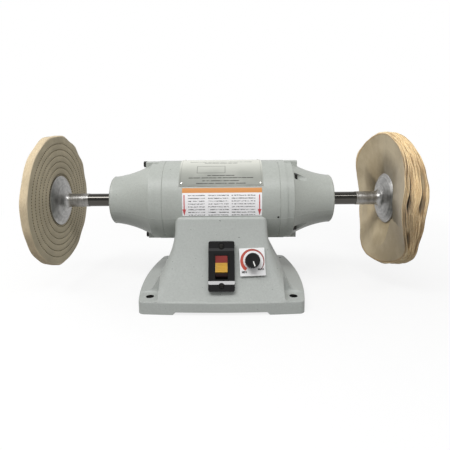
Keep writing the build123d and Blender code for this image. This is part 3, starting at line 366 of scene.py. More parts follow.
@dataclass(frozen=True)
class Finish(ABC):
    """One finish of the machine's surfaces."""

    name: str

    def material(self) -> bpy.types.Material:
        """Makes the finish's material at its first use.

        Returns:
            The material, the same one at each use.
        """
        label = "finish_" + self.name
        found = bpy.data.materials.get(label)
        if found is None:
            tree = FinishTree(label)
            self.paint(tree)
            found = tree.material
        return found

    @abstractmethod
    def paint(self, tree: FinishTree) -> None:
        """Lays out the finish's nodes."""


@dataclass(frozen=True)
class CastPaint(Finish):
    """Grey paint over a cast surface, with a fine grain and a few pits."""

    colour: Colour
    grain: float = 900.0
    grain_depth: float = 0.00022
    swell_depth: float = 0.0004
    roughness: float = 0.46
    pit_share: float = 0.755
    pit_edge: float = 0.03
    pit_scale: float = 300.0
    pit_tone: float = 0.3
    cloud_scale: float = 14.0
    cloud_tones: Pair = (0.94, 1.05)
    grain_tone: float = 0.93
    mottle_scale: float = 420.0
    mottle_tone: float = 0.82
    mottle_share: float = 0.5
    swell_size: float = 6.0
    roughness_swing: float = 0.07
    gloss: float = 0.42

    def paint(self, tree: FinishTree) -> None:
        """Lays out the cloudy colour, pits, grain and swell."""
        tree.shader_inputs(**self.coat(tree), Specular_IOR_Level=self.gloss)

    def coat(self, tree: FinishTree) -> dict[str, Value]:
        """Lays out the coat of paint.

        Args:
            tree: Nodes of the finish.

        Returns:
            The paint's colour, roughness and normal as shader inputs.
        """
        cloud = tree.noise(self.cloud_scale, 4.0)
        fine = tree.noise(self.grain, 2.0, 0.6)
        swell = tree.noise(self.grain / self.swell_size, 2.0)
        mottle = tree.span(tree.noise(self.mottle_scale, 2.0, 0.6), *MIDDLE)
        pits = tree.span(tree.noise(self.pit_scale, 1.0), self.pit_share,
                         self.pit_share + self.pit_edge)
        tint = tree.mottled(cloud, self.colour, *self.cloud_tones)
        tint = tree.mix(tree.span(fine, *BROAD), shade(self.colour, self.grain_tone), tint)
        tint = tree.mix(tree.product(mottle, self.mottle_share), tint,
                        shade(self.colour, self.mottle_tone))
        normal = tree.bump(swell, self.swell_depth)
        return {
            "Base_Color": tree.mix(pits, tint, shade(self.colour, self.pit_tone)),
            "Roughness": tree.span(fine, *WIDE, self.roughness - self.roughness_swing,
                                   self.roughness + self.roughness_swing),
            "Normal": tree.bump(fine, self.grain_depth, 0.6, normal),
        }


@dataclass(frozen=True)
class BasePaint(CastPaint):
    """Cast paint with the walls of the drilled bench holes coloured almost black."""

    hole_dark: Colour = (0.014, 0.013, 0.012, 1.0)
    hole_places: Pair = (0.1005, 0.087)
    hole_radius: float = 0.0056
    hole_edge: float = 0.0002

    def coat(self, tree: FinishTree) -> dict[str, Value]:
        """Lays out the paint with the holes' walls coloured almost black.

        Args:
            tree: Nodes of the finish.

        Returns:
            The shader inputs.
        """
        inputs = super().coat(tree)
        x, y, _ = tree.split(tree.point)
        offs = (tree.less(tree.math("ABSOLUTE", way), place)
                for way, place in zip((x, y), self.hole_places))
        hole_mask = tree.within(tree.diagonal(*offs), self.hole_radius, self.hole_edge)
        # The holes' walls are coloured almost black
        inputs["Base_Color"] = tree.mix(hole_mask, inputs["Base_Color"], self.hole_dark)
        return inputs


@dataclass(frozen=True)
class ShellPaint(CastPaint):
    """Smoother paint on the motor's shell, with the tube's seam at both ends as a shallow groove and a painted
    highlight.
    """

    seam_angle: float = -19.6
    seam_width: float = 0.35
    seam_start: float = 0.0605
    seam_fade: float = 0.002
    seam_depth: float = 0.0004
    seam_share: float = 0.4
    seam_highlight_tone: float = 1.25

    def coat(self, tree: FinishTree) -> dict[str, Value]:
        """Lays out the paint with the shallow seam and its painted highlight added.

        Args:
            tree: Nodes of the finish.

        Returns:
            The shader inputs.
        """
        inputs = super().coat(tree)
        x, _, angle = tree.about_spindle()
        ends = tree.span(tree.math("ABSOLUTE", x), self.seam_start,
                         self.seam_start + self.seam_fade)
        seam = tree.product(tree.band(angle, self.seam_angle - self.seam_width,
                                      self.seam_angle + self.seam_width, self.seam_width), ends)
        # Painted highlight: the seam's line is coloured lighter than the paint, as an edge catching the light; the
        # groove itself is a real bump
        inputs["Base_Color"] = tree.mix(tree.product(seam, self.seam_share),
                                        inputs["Base_Color"], shade(self.colour, self.seam_highlight_tone))
        inputs["Normal"] = tree.bump(seam, self.seam_depth, 0.7, inputs["Normal"])
        return inputs


class Lay(Enum):
    """Ways that tool marks run on a metal surface."""

    AROUND = "around the spindle"
    CLOUDY = "no direction"


@dataclass(frozen=True)
class Metal(Finish):
    """Bare metal with tool marks and a cloudy sheen."""

    colour: Colour
    roughness: float
    lay: Lay = Lay.CLOUDY
    mark_scale: float = 1600.0
    mark_depth: float = 0.00006
    cloud_scale: float = 60.0
    contrast: float = 0.18
    mark_share: float = 0.45
    turn_stretch: float = 0.00002
    roughness_swing: float = 0.2

    def paint(self, tree: FinishTree) -> None:
        """Lays out the marks, the clouds and the metal.

        Args:
            tree: Nodes of the finish.
        """
        where = tree.point
        if self.lay is Lay.AROUND:
            x, radius, angle = tree.about_spindle()
            where = tree.joined(x, radius, tree.product(angle, self.turn_stretch))
        marks = tree.noise(self.mark_scale, 2.0, 0.6, where)
        cloud = tree.noise(self.cloud_scale, 4.0, 0.6)
        tone = tree.math("ADD", tree.product(marks, self.mark_share),
                         tree.product(cloud, 1 - self.mark_share))
        rough = tree.span(tone, *BROAD, self.roughness * (1 - self.roughness_swing),
                          self.roughness * (1 + self.roughness_swing))
        tree.shader_inputs(
            Base_Color=tree.mottled(tone, self.colour, 1 - self.contrast, 1 + self.contrast),
            Roughness=rough, Metallic=1.0, Normal=tree.bump(marks, self.mark_depth))


@dataclass(frozen=True)
class Plastic(Finish):
    """Moulded plastic with a fine grain."""

    colour: Colour
    roughness: float
    grain: float = 1400.0
    grain_depth: float = 0.00004
    gloss: float = 0.5
    cloud_scale: float = 90.0
    cloud_tones: Pair = (0.88, 1.1)
    roughness_swing: float = 0.15

    def paint(self, tree: FinishTree) -> None:
        """Lays out the grain and the faint mottling.

        Args:
            tree: Nodes of the finish.
        """
        fine = tree.noise(self.grain, 2.0)
        cloud = tree.noise(self.cloud_scale, 3.0)
        rough = tree.span(cloud, *MIDDLE, self.roughness * (1 - self.roughness_swing),
                          self.roughness * (1 + self.roughness_swing))
        tree.shader_inputs(
            Base_Color=tree.mottled(cloud, self.colour, *self.cloud_tones), Roughness=rough,
            Specular_IOR_Level=self.gloss, Normal=tree.bump(fine, self.grain_depth))


@dataclass(frozen=True)
class RockerPlastic(Plastic):
    """Rocker moulding in red, with the key's shadow painted almost black on its lower end."""

    # Colour of the painted shadow that the key casts on the rocker's lower end
    low: Colour = (0.0, 0.0, 0.0, 1.0)
    key_shadow_edge: Pair = (-0.0072, -0.0068)

    def paint(self, tree: FinishTree) -> None:
        """Lays out the plastic and the painted shadow below the key.

        Args:
            tree: Nodes of the finish.
        """
        super().paint(tree)
        # Painted shadow: below the key the red turns almost black, as if in the key's shadow
        up = tree.along(joint("knob_turn").up, joint("rocker_tilt").centre)
        red = tree.shader.inputs["Base Color"].links[0].from_socket
        tree.shader_inputs(Base_Color=tree.mix(tree.span(up, *self.key_shadow_edge), self.low, red))


@dataclass(frozen=True)
class WheelCloth(Finish):
    """Woven cotton of a buffing wheel, browner on its faces and paler at its cut rim, with painted shade in the
    weave's valleys and in any clefts of the rim.
    """

    face: Colour
    face_dark: Colour
    rim: Colour
    rim_dark: Colour
    rim_start: float
    rim_end: float
    weave: float = 0.0011
    weave_depth: float = 0.00012
    weave_valley: Pair = (0.1, 0.8)
    weave_shade_share: float = 0.18
    weave_shade_tone: float = 0.7
    smudge_scale: float = 22.0
    smudge_range: Pair = (0.32, 0.68)
    fleck_scale: float = 700.0
    fleck_range: Pair = (0.35, 0.65)
    fleck_share: float = 0.35
    fleck_tone: float = 1.12
    ply_scale: float = 900.0
    ply_range: Pair = (0.32, 0.66)
    ply_stretch: float = 0.0004
    fibre_depth: float = 0.0005
    fibre_share: float = 0.6
    # Colour of the painted shade in the clefts where the rim's plies are drawn in, and the radii over which it
    # fades
    cleft_shade: Optional[Colour] = None
    cleft_shade_radii: Pair = (0.0985, 0.1012)

    def paint(self, tree: FinishTree) -> None:
        """Lays out the weave with painted shade in its valleys, the smudged face and the fibrous rim with painted
        shade in any clefts.

        Args:
            tree: Nodes of the finish.
        """
        x, radius, angle = tree.about_spindle()
        _, y, z = tree.split(tree.point)
        threads = (tree.math("SINE", tree.product(way, FULL_TURN / self.weave)) for way in (y, z))
        weave = tree.math("MULTIPLY_ADD", tree.product(*threads), 0.5, 0.5)
        smudge = tree.noise(self.smudge_scale, 5.0, 0.6)
        fleck = tree.noise(self.fleck_scale, 3.0, 0.7)
        around = tree.joined(x, tree.product(angle, self.ply_stretch), radius)
        plies = tree.noise(self.ply_scale, 3.0, 0.65, around)

        face = tree.mix(tree.span(smudge, *self.smudge_range), self.face_dark, self.face)
        # Painted shade: the weave's valleys are coloured darker, as if in shade
        sunk = tree.product(tree.within(weave, *self.weave_valley), self.weave_shade_share)
        face = tree.mix(sunk, face, shade(self.face_dark, self.weave_shade_tone))
        rim = tree.mix(tree.span(plies, *self.ply_range), self.rim_dark, self.rim)
        pale = tree.product(tree.span(fleck, *self.fleck_range), self.fleck_share)
        rim = tree.mix(pale, rim, shade(self.rim, self.fleck_tone))
        # Painted shade: rim surfaces drawn in below the outer radius are coloured dark brown, as if in shade
        if self.cleft_shade:
            rim = tree.mix(tree.span(radius, *self.cleft_shade_radii), self.cleft_shade, rim)

        edge = tree.span(radius, self.rim_start, self.rim_end)
        fibres = tree.math("ADD", tree.product(fleck, self.fibre_share),
                           tree.product(plies, edge))
        normal = tree.bump(weave, self.weave_depth, 0.6)
        tree.shader_inputs(
            Base_Color=tree.mix(edge, face, rim), Roughness=0.9, Specular_IOR_Level=0.15,
            Sheen_Weight=0.25, Sheen_Roughness=0.5,
            Normal=tree.bump(fibres, self.fibre_depth, 0.45, normal))


@dataclass(frozen=True)
class Thread(Finish):
    """Twisted sewing thread."""

    colour: Colour
    twist_scale: float = 2600.0
    twist_depth: float = 0.0002
    twist_tones: Pair = (0.75, 1.15)

    def paint(self, tree: FinishTree) -> None:
        """Lays out the thread's twist as fine flecks.

        Args:
            tree: Nodes of the finish.
        """
        twist = tree.noise(self.twist_scale, 2.0)
        tree.shader_inputs(
            Base_Color=tree.mottled(twist, self.colour, *self.twist_tones), Roughness=0.85,
            Specular_IOR_Level=0.2, Normal=tree.bump(twist, self.twist_depth))


@dataclass(frozen=True)
class NameplatePrint(Finish):
    """Pale plate with a thin border, one framed empty field, ruled lines and painted shade that darkens it towards
    its lower edge.
    """

    plate: Colour
    # Colour of the plate where its painted shade is deepest, at the lower edge
    plate_painted_shade: Colour
    ink: Colour
    half_width: float = 0.0605
    low: float = 26.0
    high: float = 104.0
    field_x: Pair = (-0.035, 0.0063)
    field_angle: Pair = (46.5, 61.0)
    field_line: Pair = (0.0008, 0.8)
    rules: tuple[Pair, ...] = ((42.2, 0.019), (38.4, 0.046), (33.8, 0.026), (30.0, 0.035),
                               (69.5, 0.024), (74.0, 0.046))
    rule_half: float = 0.5
    rule_soft: float = 0.25
    rule_end: float = 0.001
    break_scale: float = 260.0
    break_stretch: Point = (1.0, 1.6, 1.6)
    break_range: Pair = (0.34, 0.5)
    break_ink: Pair = (0.25, 0.85)
    field_soft: Pair = (0.0002, 0.15)
    field_ink: float = 0.6
    border_outer: Pair = (0.0022, 1.6)
    border_inner: Pair = (0.0030, 2.4)
    border_soft: Pair = (0.0002, 0.2)
    border_ink: float = 0.25
    # Angles from the lower and the upper edge over which the painted shade fades into the plate's own colour
    shade_fade: Pair = (6.0, 20.0)
    cloud_scale: float = 26.0
    cloud_share: float = 0.3
    cloud_tone: float = 0.85
    grain_scale: float = 1500.0
    grain_stretch: Point = (0.05, 1.0, 1.0)
    grain_share: float = 0.15
    grain_tone: float = 0.8
    print_depth: float = 0.00003

    def rule_lines(self, tree: FinishTree, across: Socket, angle: Socket) -> Socket:
        """Lays out the broken rules.

        Args:
            tree: Nodes of the finish.
            across: Distance from the plate's middle.
            angle: Angle above the front in degrees.

        Returns:
            1 on the rules and 0 beside them.
        """
        breaks = tree.noise(self.break_scale, 1.0, 0.5, tree.stretched(self.break_stretch))
        ink = tree.span(breaks, *self.break_range, *self.break_ink)
        line = 0.0
        for place, half in self.rules:
            rule = tree.product(
                tree.band(angle, place - self.rule_half, place + self.rule_half, self.rule_soft),
                tree.within(across, half, self.rule_end))
            line = tree.most(line, tree.product(rule, ink))
        return line

    def field(self, tree: FinishTree, x: Socket, angle: Socket, inset: Pair) -> Socket:
        """Lays out the framed field.

        Args:
            tree: Nodes of the finish.
            x: Station along the spindle.
            angle: Angle above the front in degrees.
            inset: Margin in metres along the spindle and in degrees round it.

        Returns:
            1 in the field, less its margin, and 0 outside.
        """
        (left, right), (low, high), (gap, turn) = self.field_x, self.field_angle, inset
        soft_x, soft_angle = self.field_soft
        return tree.product(tree.band(x, left + gap, right - gap, soft_x),
                            tree.band(angle, low + turn, high - turn, soft_angle))

    def inside(self, tree: FinishTree, across: Socket, angle: Socket, margin: Pair) -> Socket:
        """Lays out the plate less a margin.

        Args:
            tree: Nodes of the finish.
            across: Distance from the plate's middle.
            angle: Angle above the front in degrees.
            margin: Margin in metres along the spindle and in degrees round it.

        Returns:
            1 inside the margin and 0 on it.
        """
        gap, turn = margin
        soft_x, soft_angle = self.border_soft
        return tree.product(tree.within(across, self.half_width - gap, soft_x),
                            tree.band(angle, self.low + turn, self.high - turn, soft_angle))

    def paint(self, tree: FinishTree) -> None:
        """Lays out the border, the field's frame, the rules and the painted shade towards the lower edge.

        Args:
            tree: Nodes of the finish.
        """
        x, _, angle = tree.about_spindle()
        across = tree.math("ABSOLUTE", x)
        cloud = tree.span(tree.noise(self.cloud_scale, 4.0), *MIDDLE)
        grain = tree.noise(self.grain_scale, 2.0, 0.5, tree.stretched(self.grain_stretch))

        line = self.rule_lines(tree, across, angle)
        frame_line = tree.less(self.field(tree, x, angle, (0.0, 0.0)),
                               self.field(tree, x, angle, self.field_line))
        line = tree.most(line, tree.product(frame_line, self.field_ink))
        border = tree.less(self.inside(tree, across, angle, self.border_outer),
                           self.inside(tree, across, angle, self.border_inner))
        line = tree.most(line, tree.product(border, self.border_ink))

        # Painted shade: the plate runs from its shaded colour at the lower edge to its own colour higher up
        from_low, from_high = self.shade_fade
        painted_light = tree.span(angle, self.low + from_low, self.high - from_high)
        base = tree.mix(painted_light, self.plate_painted_shade, self.plate)
        base = tree.mix(tree.product(cloud, self.cloud_share), base,
                        shade(self.plate, self.cloud_tone))
        base = tree.mix(tree.product(grain, self.grain_share), base,
                        shade(self.plate, self.grain_tone))
        tree.shader_inputs(
            Base_Color=tree.mix(line, base, self.ink), Specular_IOR_Level=0.3,
            Roughness=tree.span(grain, *WIDE, 0.44, 0.56),
            Normal=tree.bump(line, self.print_depth))


@dataclass(frozen=True)
class LabelPrint(Finish):
    """White film with an orange head, a red arrow at each end and columns of empty rules."""

    film: Colour
    head: Colour
    arrow: Colour
    ink: Colour
    head_angle: float = 16.9
    head_soft: float = 0.15
    arrow_x: Pair = (-0.0524, 0.0549)
    arrow_angles: tuple[float, float, float] = (14.2, -5.2, -14.2)
    arrow_half: float = 0.0007
    arrow_head_half: float = 0.0026
    arrow_soft: Pair = (0.0002, 0.15)
    arrow_head_soft: float = 0.1
    columns: tuple[Pair, ...] = ((-0.0465, -0.023), (-0.018, 0.011), (0.0155, 0.0485))
    column_soft: float = 0.0006
    rule_top: float = 14.4
    rule_start: float = 0.2
    rule_pitch: float = 3.82
    rule_band: Pair = (0.15, 0.38)
    rule_soft: float = 0.1
    break_scale: float = 420.0
    break_stretch: Point = (1.0, 1.6, 1.6)
    break_range: Pair = (0.38, 0.6)
    break_ink: Pair = (0.1, 1.0)
    grain_scale: float = 800.0
    grain_depth: float = 0.00002
    grain_tone: float = 0.96

    def arrows(self, tree: FinishTree, x: Socket, angle: Socket) -> Socket:
        """Lays out the two arrows.

        Args:
            tree: Nodes of the finish.
            x: Station along the spindle.
            angle: Angle above the front in degrees.

        Returns:
            1 on the arrows and 0 beside them.
        """
        top, neck, tip = self.arrow_angles
        soft_x, soft_angle = self.arrow_soft
        red = 0.0
        for place in self.arrow_x:
            off = tree.math("ABSOLUTE", tree.less(x, place))
            shaft = tree.product(tree.within(off, self.arrow_half, soft_x),
                                 tree.band(angle, neck, top, soft_angle))
            reach = tree.product(tree.less(angle, tip), self.arrow_head_half / (neck - tip))
            point = tree.product(tree.math("LESS_THAN", off, reach),
                                 tree.band(angle, tip, neck, self.arrow_head_soft))
            red = tree.most(red, tree.most(shaft, point))
        return red

    def rules(self, tree: FinishTree, x: Socket, angle: Socket) -> Socket:
        """Lays out the columns of broken rules.

        Args:
            tree: Nodes of the finish.
            x: Station along the spindle.
            angle: Angle above the front in degrees.

        Returns:
            1 on the rules and 0 beside them.
        """
        turns = tree.math("DIVIDE", tree.less(self.rule_top, angle), self.rule_pitch)
        rows = tree.product(
            tree.band(tree.math("FRACT", turns), *self.rule_band, self.rule_soft),
            tree.within(angle, self.rule_top - self.rule_start, self.rule_start))
        breaks = tree.noise(self.break_scale, 2.0, 0.6, tree.stretched(self.break_stretch))
        ink = 0.0
        for left, right in self.columns:
            ink = tree.most(ink, tree.product(rows, tree.band(x, left, right, self.column_soft)))
        return tree.product(ink, tree.span(breaks, *self.break_range, *self.break_ink))

    def paint(self, tree: FinishTree) -> None:
        """Lays out the head, the arrows and the rules.

        Args:
            tree: Nodes of the finish.
        """
        x, _, angle = tree.about_spindle()
        grain = tree.noise(self.grain_scale, 2.0)
        colour = tree.mottled(grain, self.film, self.grain_tone, 1.0)
        colour = tree.mix(self.rules(tree, x, angle), colour, self.ink)
        colour = tree.mix(self.arrows(tree, x, angle), colour, self.arrow)
        above = tree.span(angle, self.head_angle - self.head_soft,
                          self.head_angle + self.head_soft)
        tree.shader_inputs(
            Base_Color=tree.mix(above, colour, self.head),
            Roughness=tree.span(grain, *WIDE, 0.34, 0.44),
            Normal=tree.bump(grain, self.grain_depth))


@dataclass(frozen=True)
class DialPrint(Finish):
    """White plate with a red arc that narrows clockwise."""

    plate: Colour
    arc: Colour
    arc_end: Colour
    arc_radius: float = 0.0167
    arc_start: float = 216.0
    arc_sweep: float = 282.0
    arc_widths: Pair = (0.0048, 0.0009)
    grain_scale: float = 700.0
    grain_depth: float = 0.00002
    grain_tone: float = 0.95

    def paint(self, tree: FinishTree) -> None:
        """Lays out the arc round the knob's axis.

        Args:
            tree: Nodes of the finish.
        """
        plane = joint("knob_turn")
        x, _, _ = tree.split(tree.point)
        across = tree.less(x, plane.centre.x)
        up = tree.along(plane.up, plane.centre)
        radius = tree.diagonal(across, up)
        clock = tree.math("DEGREES", tree.math("ARCTAN2", across, up))
        swept = tree.math("MODULO", tree.math("ADD", clock, 720.0 - self.arc_start), 360.0)
        share = tree.math("DIVIDE", swept, self.arc_sweep)
        wide, thin = self.arc_widths
        width = tree.math("MULTIPLY_ADD", share, thin - wide, wide)
        ring = tree.product(
            tree.math("GREATER_THAN", radius, tree.less(self.arc_radius, width)),
            tree.math("LESS_THAN", radius, self.arc_radius), tree.math("LESS_THAN", share, 1.0))
        grain = tree.noise(self.grain_scale, 2.0)
        plate = tree.mottled(grain, self.plate, self.grain_tone, 1.0)
        arc = tree.mix(share, self.arc, self.arc_end)
        tree.shader_inputs(
            Base_Color=tree.mix(ring, plate, arc), Roughness=tree.span(grain, *WIDE, 0.38, 0.5),
            Normal=tree.bump(grain, self.grain_depth))


@dataclass(frozen=True)
class Laminations(Finish):
    """Stacked steel sheets, seen edge on."""

    colour: Colour
    pitch: float = 0.0006
    sheet_depth: float = 0.00008
    rust_scale: float = 240.0
    rust_range: Pair = (0.45, 0.75)
    rust_tone: float = 0.6

    def paint(self, tree: FinishTree) -> None:
        """Lays out the sheets' edges along the spindle.

        Args:
            tree: Nodes of the finish.
        """
        x, _, _ = tree.about_spindle()
        rust = tree.noise(self.rust_scale, 4.0)
        colour = tree.mix(tree.span(rust, *self.rust_range), self.colour,
                          shade(self.colour, self.rust_tone))
        tree.shader_inputs(
            Base_Color=colour, Metallic=0.85, Roughness=tree.span(rust, *WIDE, 0.4, 0.6),
            Normal=tree.bump(tree.wave(x, self.pitch), self.sheet_depth, 0.6))


@dataclass(frozen=True)
class Winding(Finish):
    """Varnished wire laid side by side."""

    colour: Colour
    pitch: float = 0.0011
    wire_depth: float = 0.0003
    varnish_scale: float = 160.0
    varnish_tones: Pair = (0.7, 1.15)

    def paint(self, tree: FinishTree) -> None:
        """Lays out the wires' rounded rows.

        Args:
            tree: Nodes of the finish.
        """
        _, radius, _ = tree.about_spindle()
        varnish = tree.noise(self.varnish_scale, 4.0)
        tree.shader_inputs(
            Base_Color=tree.mottled(varnish, self.colour, *self.varnish_tones), Metallic=0.6,
            Roughness=tree.span(varnish, *WIDE, 0.25, 0.45),
            Normal=tree.bump(tree.wave(radius, self.pitch), self.wire_depth, 0.8))


@dataclass(frozen=True)
class Board(Finish):
    """Printed board with paler tracks."""

    colour: Colour
    track_scale: float = 110.0
    track_band: Pair = (0.3, 0.42)
    track_soft: float = 0.03
    track_tone: float = 1.7
    track_depth: float = 0.00004

    def paint(self, tree: FinishTree) -> None:
        """Lays out tracks from a cell pattern.

        Args:
            tree: Nodes of the finish.
        """
        cells = tree.node("TexVoronoi", {"Vector": tree.point, "Scale": self.track_scale},
                          distance="MANHATTAN").outputs[0]
        track = tree.band(cells, *self.track_band, self.track_soft)
        tree.shader_inputs(
            Base_Color=tree.mix(track, self.colour, shade(self.colour, self.track_tone)),
            Roughness=tree.span(cells, 0.0, 1.0, 0.3, 0.42),
            Normal=tree.bump(track, self.track_depth, 0.6))


FINISHES: dict[str, Finish] = {
    "grey_casting": BasePaint("base_paint", srgb(186, 190, 186)),
    "grey_motor": ShellPaint("motor_paint", srgb(184, 188, 182), grain=1300.0,
                             grain_depth=0.00012, swell_depth=0.0002, roughness=0.4,
                             pit_share=0.8),
    "dark_screws": Metal("oiled_screw_steel", srgb(52, 51, 49), 0.45),
    "zinc_steel": Metal("zinc_plated_steel", srgb(176, 175, 168), 0.34),
    "galvanised_sheet": Metal("galvanised_sheet", srgb(165, 168, 170), 0.42,
                              cloud_scale=34.0, contrast=0.3),
    "lamination_steel": Laminations("core_laminations", srgb(120, 122, 126)),
    "winding_copper": Winding("wound_copper", srgb(176, 104, 62)),
    "cast_aluminium": Metal("cast_aluminium", srgb(186, 188, 190), 0.5, cloud_scale=220.0),
    # The shaft's steel is coloured much darker than bare ground steel, which paints in the shade of the dark
    # surroundings it mirrors
    "ground_steel": Metal("ground_shaft_steel_painted_shade", srgb(88, 86, 82), 0.08, Lay.AROUND,
                          mark_scale=2600.0, mark_depth=0.00001, cloud_scale=40.0, contrast=0.1),
    "bearing_steel": Metal("bearing_steel", srgb(190, 190, 192), 0.16, Lay.AROUND),
    "flange_metal": Metal("turned_flange_metal", srgb(168, 167, 165), 0.38, Lay.AROUND,
                          mark_scale=420.0, mark_depth=0.0001, cloud_scale=130.0, contrast=0.36),
    "sewn_cotton": WheelCloth("sewn_wheel_cloth", face=srgb(208, 195, 165),
                              face_dark=srgb(186, 174, 146), rim=srgb(232, 215, 184),
                              rim_dark=srgb(216, 197, 163), rim_start=0.0985, rim_end=0.1008),
    "loose_cotton": WheelCloth("loose_wheel_cloth", face=srgb(208, 192, 160),
                               face_dark=srgb(182, 165, 134), rim=srgb(255, 236, 194),
                               rim_dark=srgb(222, 192, 146), rim_start=0.0970, rim_end=0.1005,
                               cleft_shade=srgb(176, 138, 92)),
    "seal_rubber": Plastic("seal_rubber", srgb(38, 38, 38), 0.7, grain=900.0,
                           grain_depth=0.0001, gloss=0.3),
    "plate_metal": NameplatePrint("nameplate_print", plate=srgb(226, 227, 218),
                                  plate_painted_shade=srgb(140, 143, 136), ink=srgb(40, 40, 38)),
    "label_film": LabelPrint("label_print", film=srgb(254, 253, 254), head=srgb(222, 148, 76),
                             arrow=srgb(206, 82, 84), ink=srgb(34, 36, 42)),
    "black_gloss": Plastic("glossy_black_plastic", srgb(10, 10, 11), 0.08, grain=500.0,
                           grain_depth=0.00001, gloss=0.8),
    "black_plastic": Plastic("black_plastic", srgb(20, 21, 20), 0.42, gloss=0.3),
    # The rocker's low colour is the painted shadow of the key on its lower end
    "red_plastic": RockerPlastic("red_rocker_plastic_painted_shadow", srgb(128, 42, 38), 0.4, gloss=0.3,
                                 low=srgb(44, 16, 20)),
    "yellow_plastic": Plastic("yellow_key_plastic", srgb(198, 152, 46), 0.45, gloss=0.3),
    "white_plastic": Plastic("white_pointer_plastic", srgb(238, 238, 234), 0.4),
    "terminal_brass": Metal("tinned_brass", srgb(200, 178, 126), 0.3),
    "board_green": Board("printed_board", srgb(34, 92, 58)),
    "board_posts": Plastic("nylon_posts", srgb(226, 222, 210), 0.5),
    "capacitor_sleeve": Plastic("capacitor_sleeve", srgb(46, 50, 84), 0.35),
    "wire_sleeve": Plastic("wire_sleeve", srgb(44, 44, 46), 0.6, grain=2200.0,
                           grain_depth=0.0001),
}
DIAL_FINISH = DialPrint("dial_print", plate=srgb(252, 252, 252), arc=srgb(214, 88, 66),
                        arc_end=srgb(140, 84, 80))
# The thread is coloured darker than the cloth, partly its own colour and partly painted shade of the stitches'
# dimples
STITCH_THREAD_AND_SHADE_FINISH = Thread("stitching_thread_painted_shade", srgb(101, 91, 72))
INK_FINISH = Plastic("dial_ink", srgb(58, 58, 58), 0.6)


def make_piece(name: str, bm: bmesh.types.BMesh, body: Body, slot: str,
               finish: Optional[Finish] = None, smooth: bool = True) -> bpy.types.Object:
    """Turns a bmesh into a piece that rides on a body.

    Args:
        name: Name of the piece.
        bm: Its shape, which is freed.
        body: Body that it rides on.
        slot: The record's material slot that it takes its finish from.
        finish: Its finish, or None for the slot's own.
        smooth: Whether its faces are shaded smooth.

    Returns:
        The new object.
    """
    for face in bm.faces:
        face.smooth = smooth
    mesh = bpy.data.meshes.new(name)
    bm.to_mesh(mesh)
    bm.free()
    piece = bpy.data.objects.new(name, mesh)
    bpy.context.scene.collection.objects.link(piece)
    mesh.materials.append((finish or FINISHES[slot]).material())
    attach(piece, body.value)
    log.info("%s: %d faces", name, len(mesh.polygons))
    return piece


def turn_profile(bm: bmesh.types.BMesh, profile: Sequence[Pair],
                 steps: int) -> list[bmesh.types.BMVert]:
    """Turns a closed outline of station and radius about the spindle.

    Args:
        bm: Mesh that takes the new surface.
        profile: Points of the outline, as x and radius in metres.
        steps: Steps of the full turn.

    Returns:
        The new vertices.
    """
    start = len(bm.verts)
    points = [bm.verts.new((x, -radius, SHAFT_Z)) for x, radius in profile]
    edges = [bm.edges.new(pair) for pair in zip(points, points[1:])]
    edges.append(bm.edges.new((points[-1], points[0])))
    bmesh.ops.spin(bm, geom=points + edges, cent=(0, 0, SHAFT_Z), axis=(1, 0, 0),
                   angle=FULL_TURN, steps=steps, use_merge=True)
    bm.verts.ensure_lookup_table()
    return bm.verts[start:]


def close_up(bm: bmesh.types.BMesh, distance: float) -> None:
    """Merges doubled vertices and turns the faces outwards."""
    bmesh.ops.remove_doubles(bm, verts=bm.verts, dist=distance)
    bmesh.ops.recalc_face_normals(bm, faces=bm.faces)


def gather(whole: bmesh.types.BMesh, part: bmesh.types.BMesh) -> None:
    """Adds one mesh to another and frees it.

    Args:
        whole: Mesh that grows.
        part: Mesh that is added.
    """
    mesh = bpy.data.meshes.new("part")
    part.to_mesh(mesh)
    part.free()
    whole.from_mesh(mesh)
    bpy.data.meshes.remove(mesh)


def about_spindle(point: Vector) -> Pair:
    """Gives a point's radius and its angle above the front in radians."""
    up = point.z - SHAFT_Z
    return math.hypot(point.y, up), math.atan2(up, -point.y)


def spindle_point(x: float, radius: float, angle: float) -> Vector:
    """Gives the point at a station, radius and angle above the front."""
    return Vector((x, -radius * math.cos(angle), SHAFT_Z + radius * math.sin(angle)))


def harmonics(angle: float, terms: Waves) -> float:
    """Sums cosine and sine terms of one, two, three and more waves per turn."""
    return sum(a * math.cos(k * angle) + b * math.sin(k * angle)
               for k, (a, b) in enumerate(terms, 1))


def ring_noise(angle: float, reach: float, depth: float, shift: float = 0.0) -> float:
    """Gives smooth noise that closes on itself round the spindle."""
    return noise.noise(Vector((reach * math.cos(angle) + shift, reach * math.sin(angle), depth)))


def hump(angle: float, centre: float, half: float) -> float:
    """Gives a smooth hump about an angle, 1 at its centre and 0 beyond its half width.

    Args:
        angle: Angle in radians.
        centre: The hump's centre in degrees.
        half: Half of its width in degrees.

    Returns:
        The hump's height at that angle.
    """
    off = abs((math.degrees(angle) - centre + 180) % 360 - 180) / half
    return 0.0 if off >= 1 else 0.5 + 0.5 * math.cos(math.pi * off)


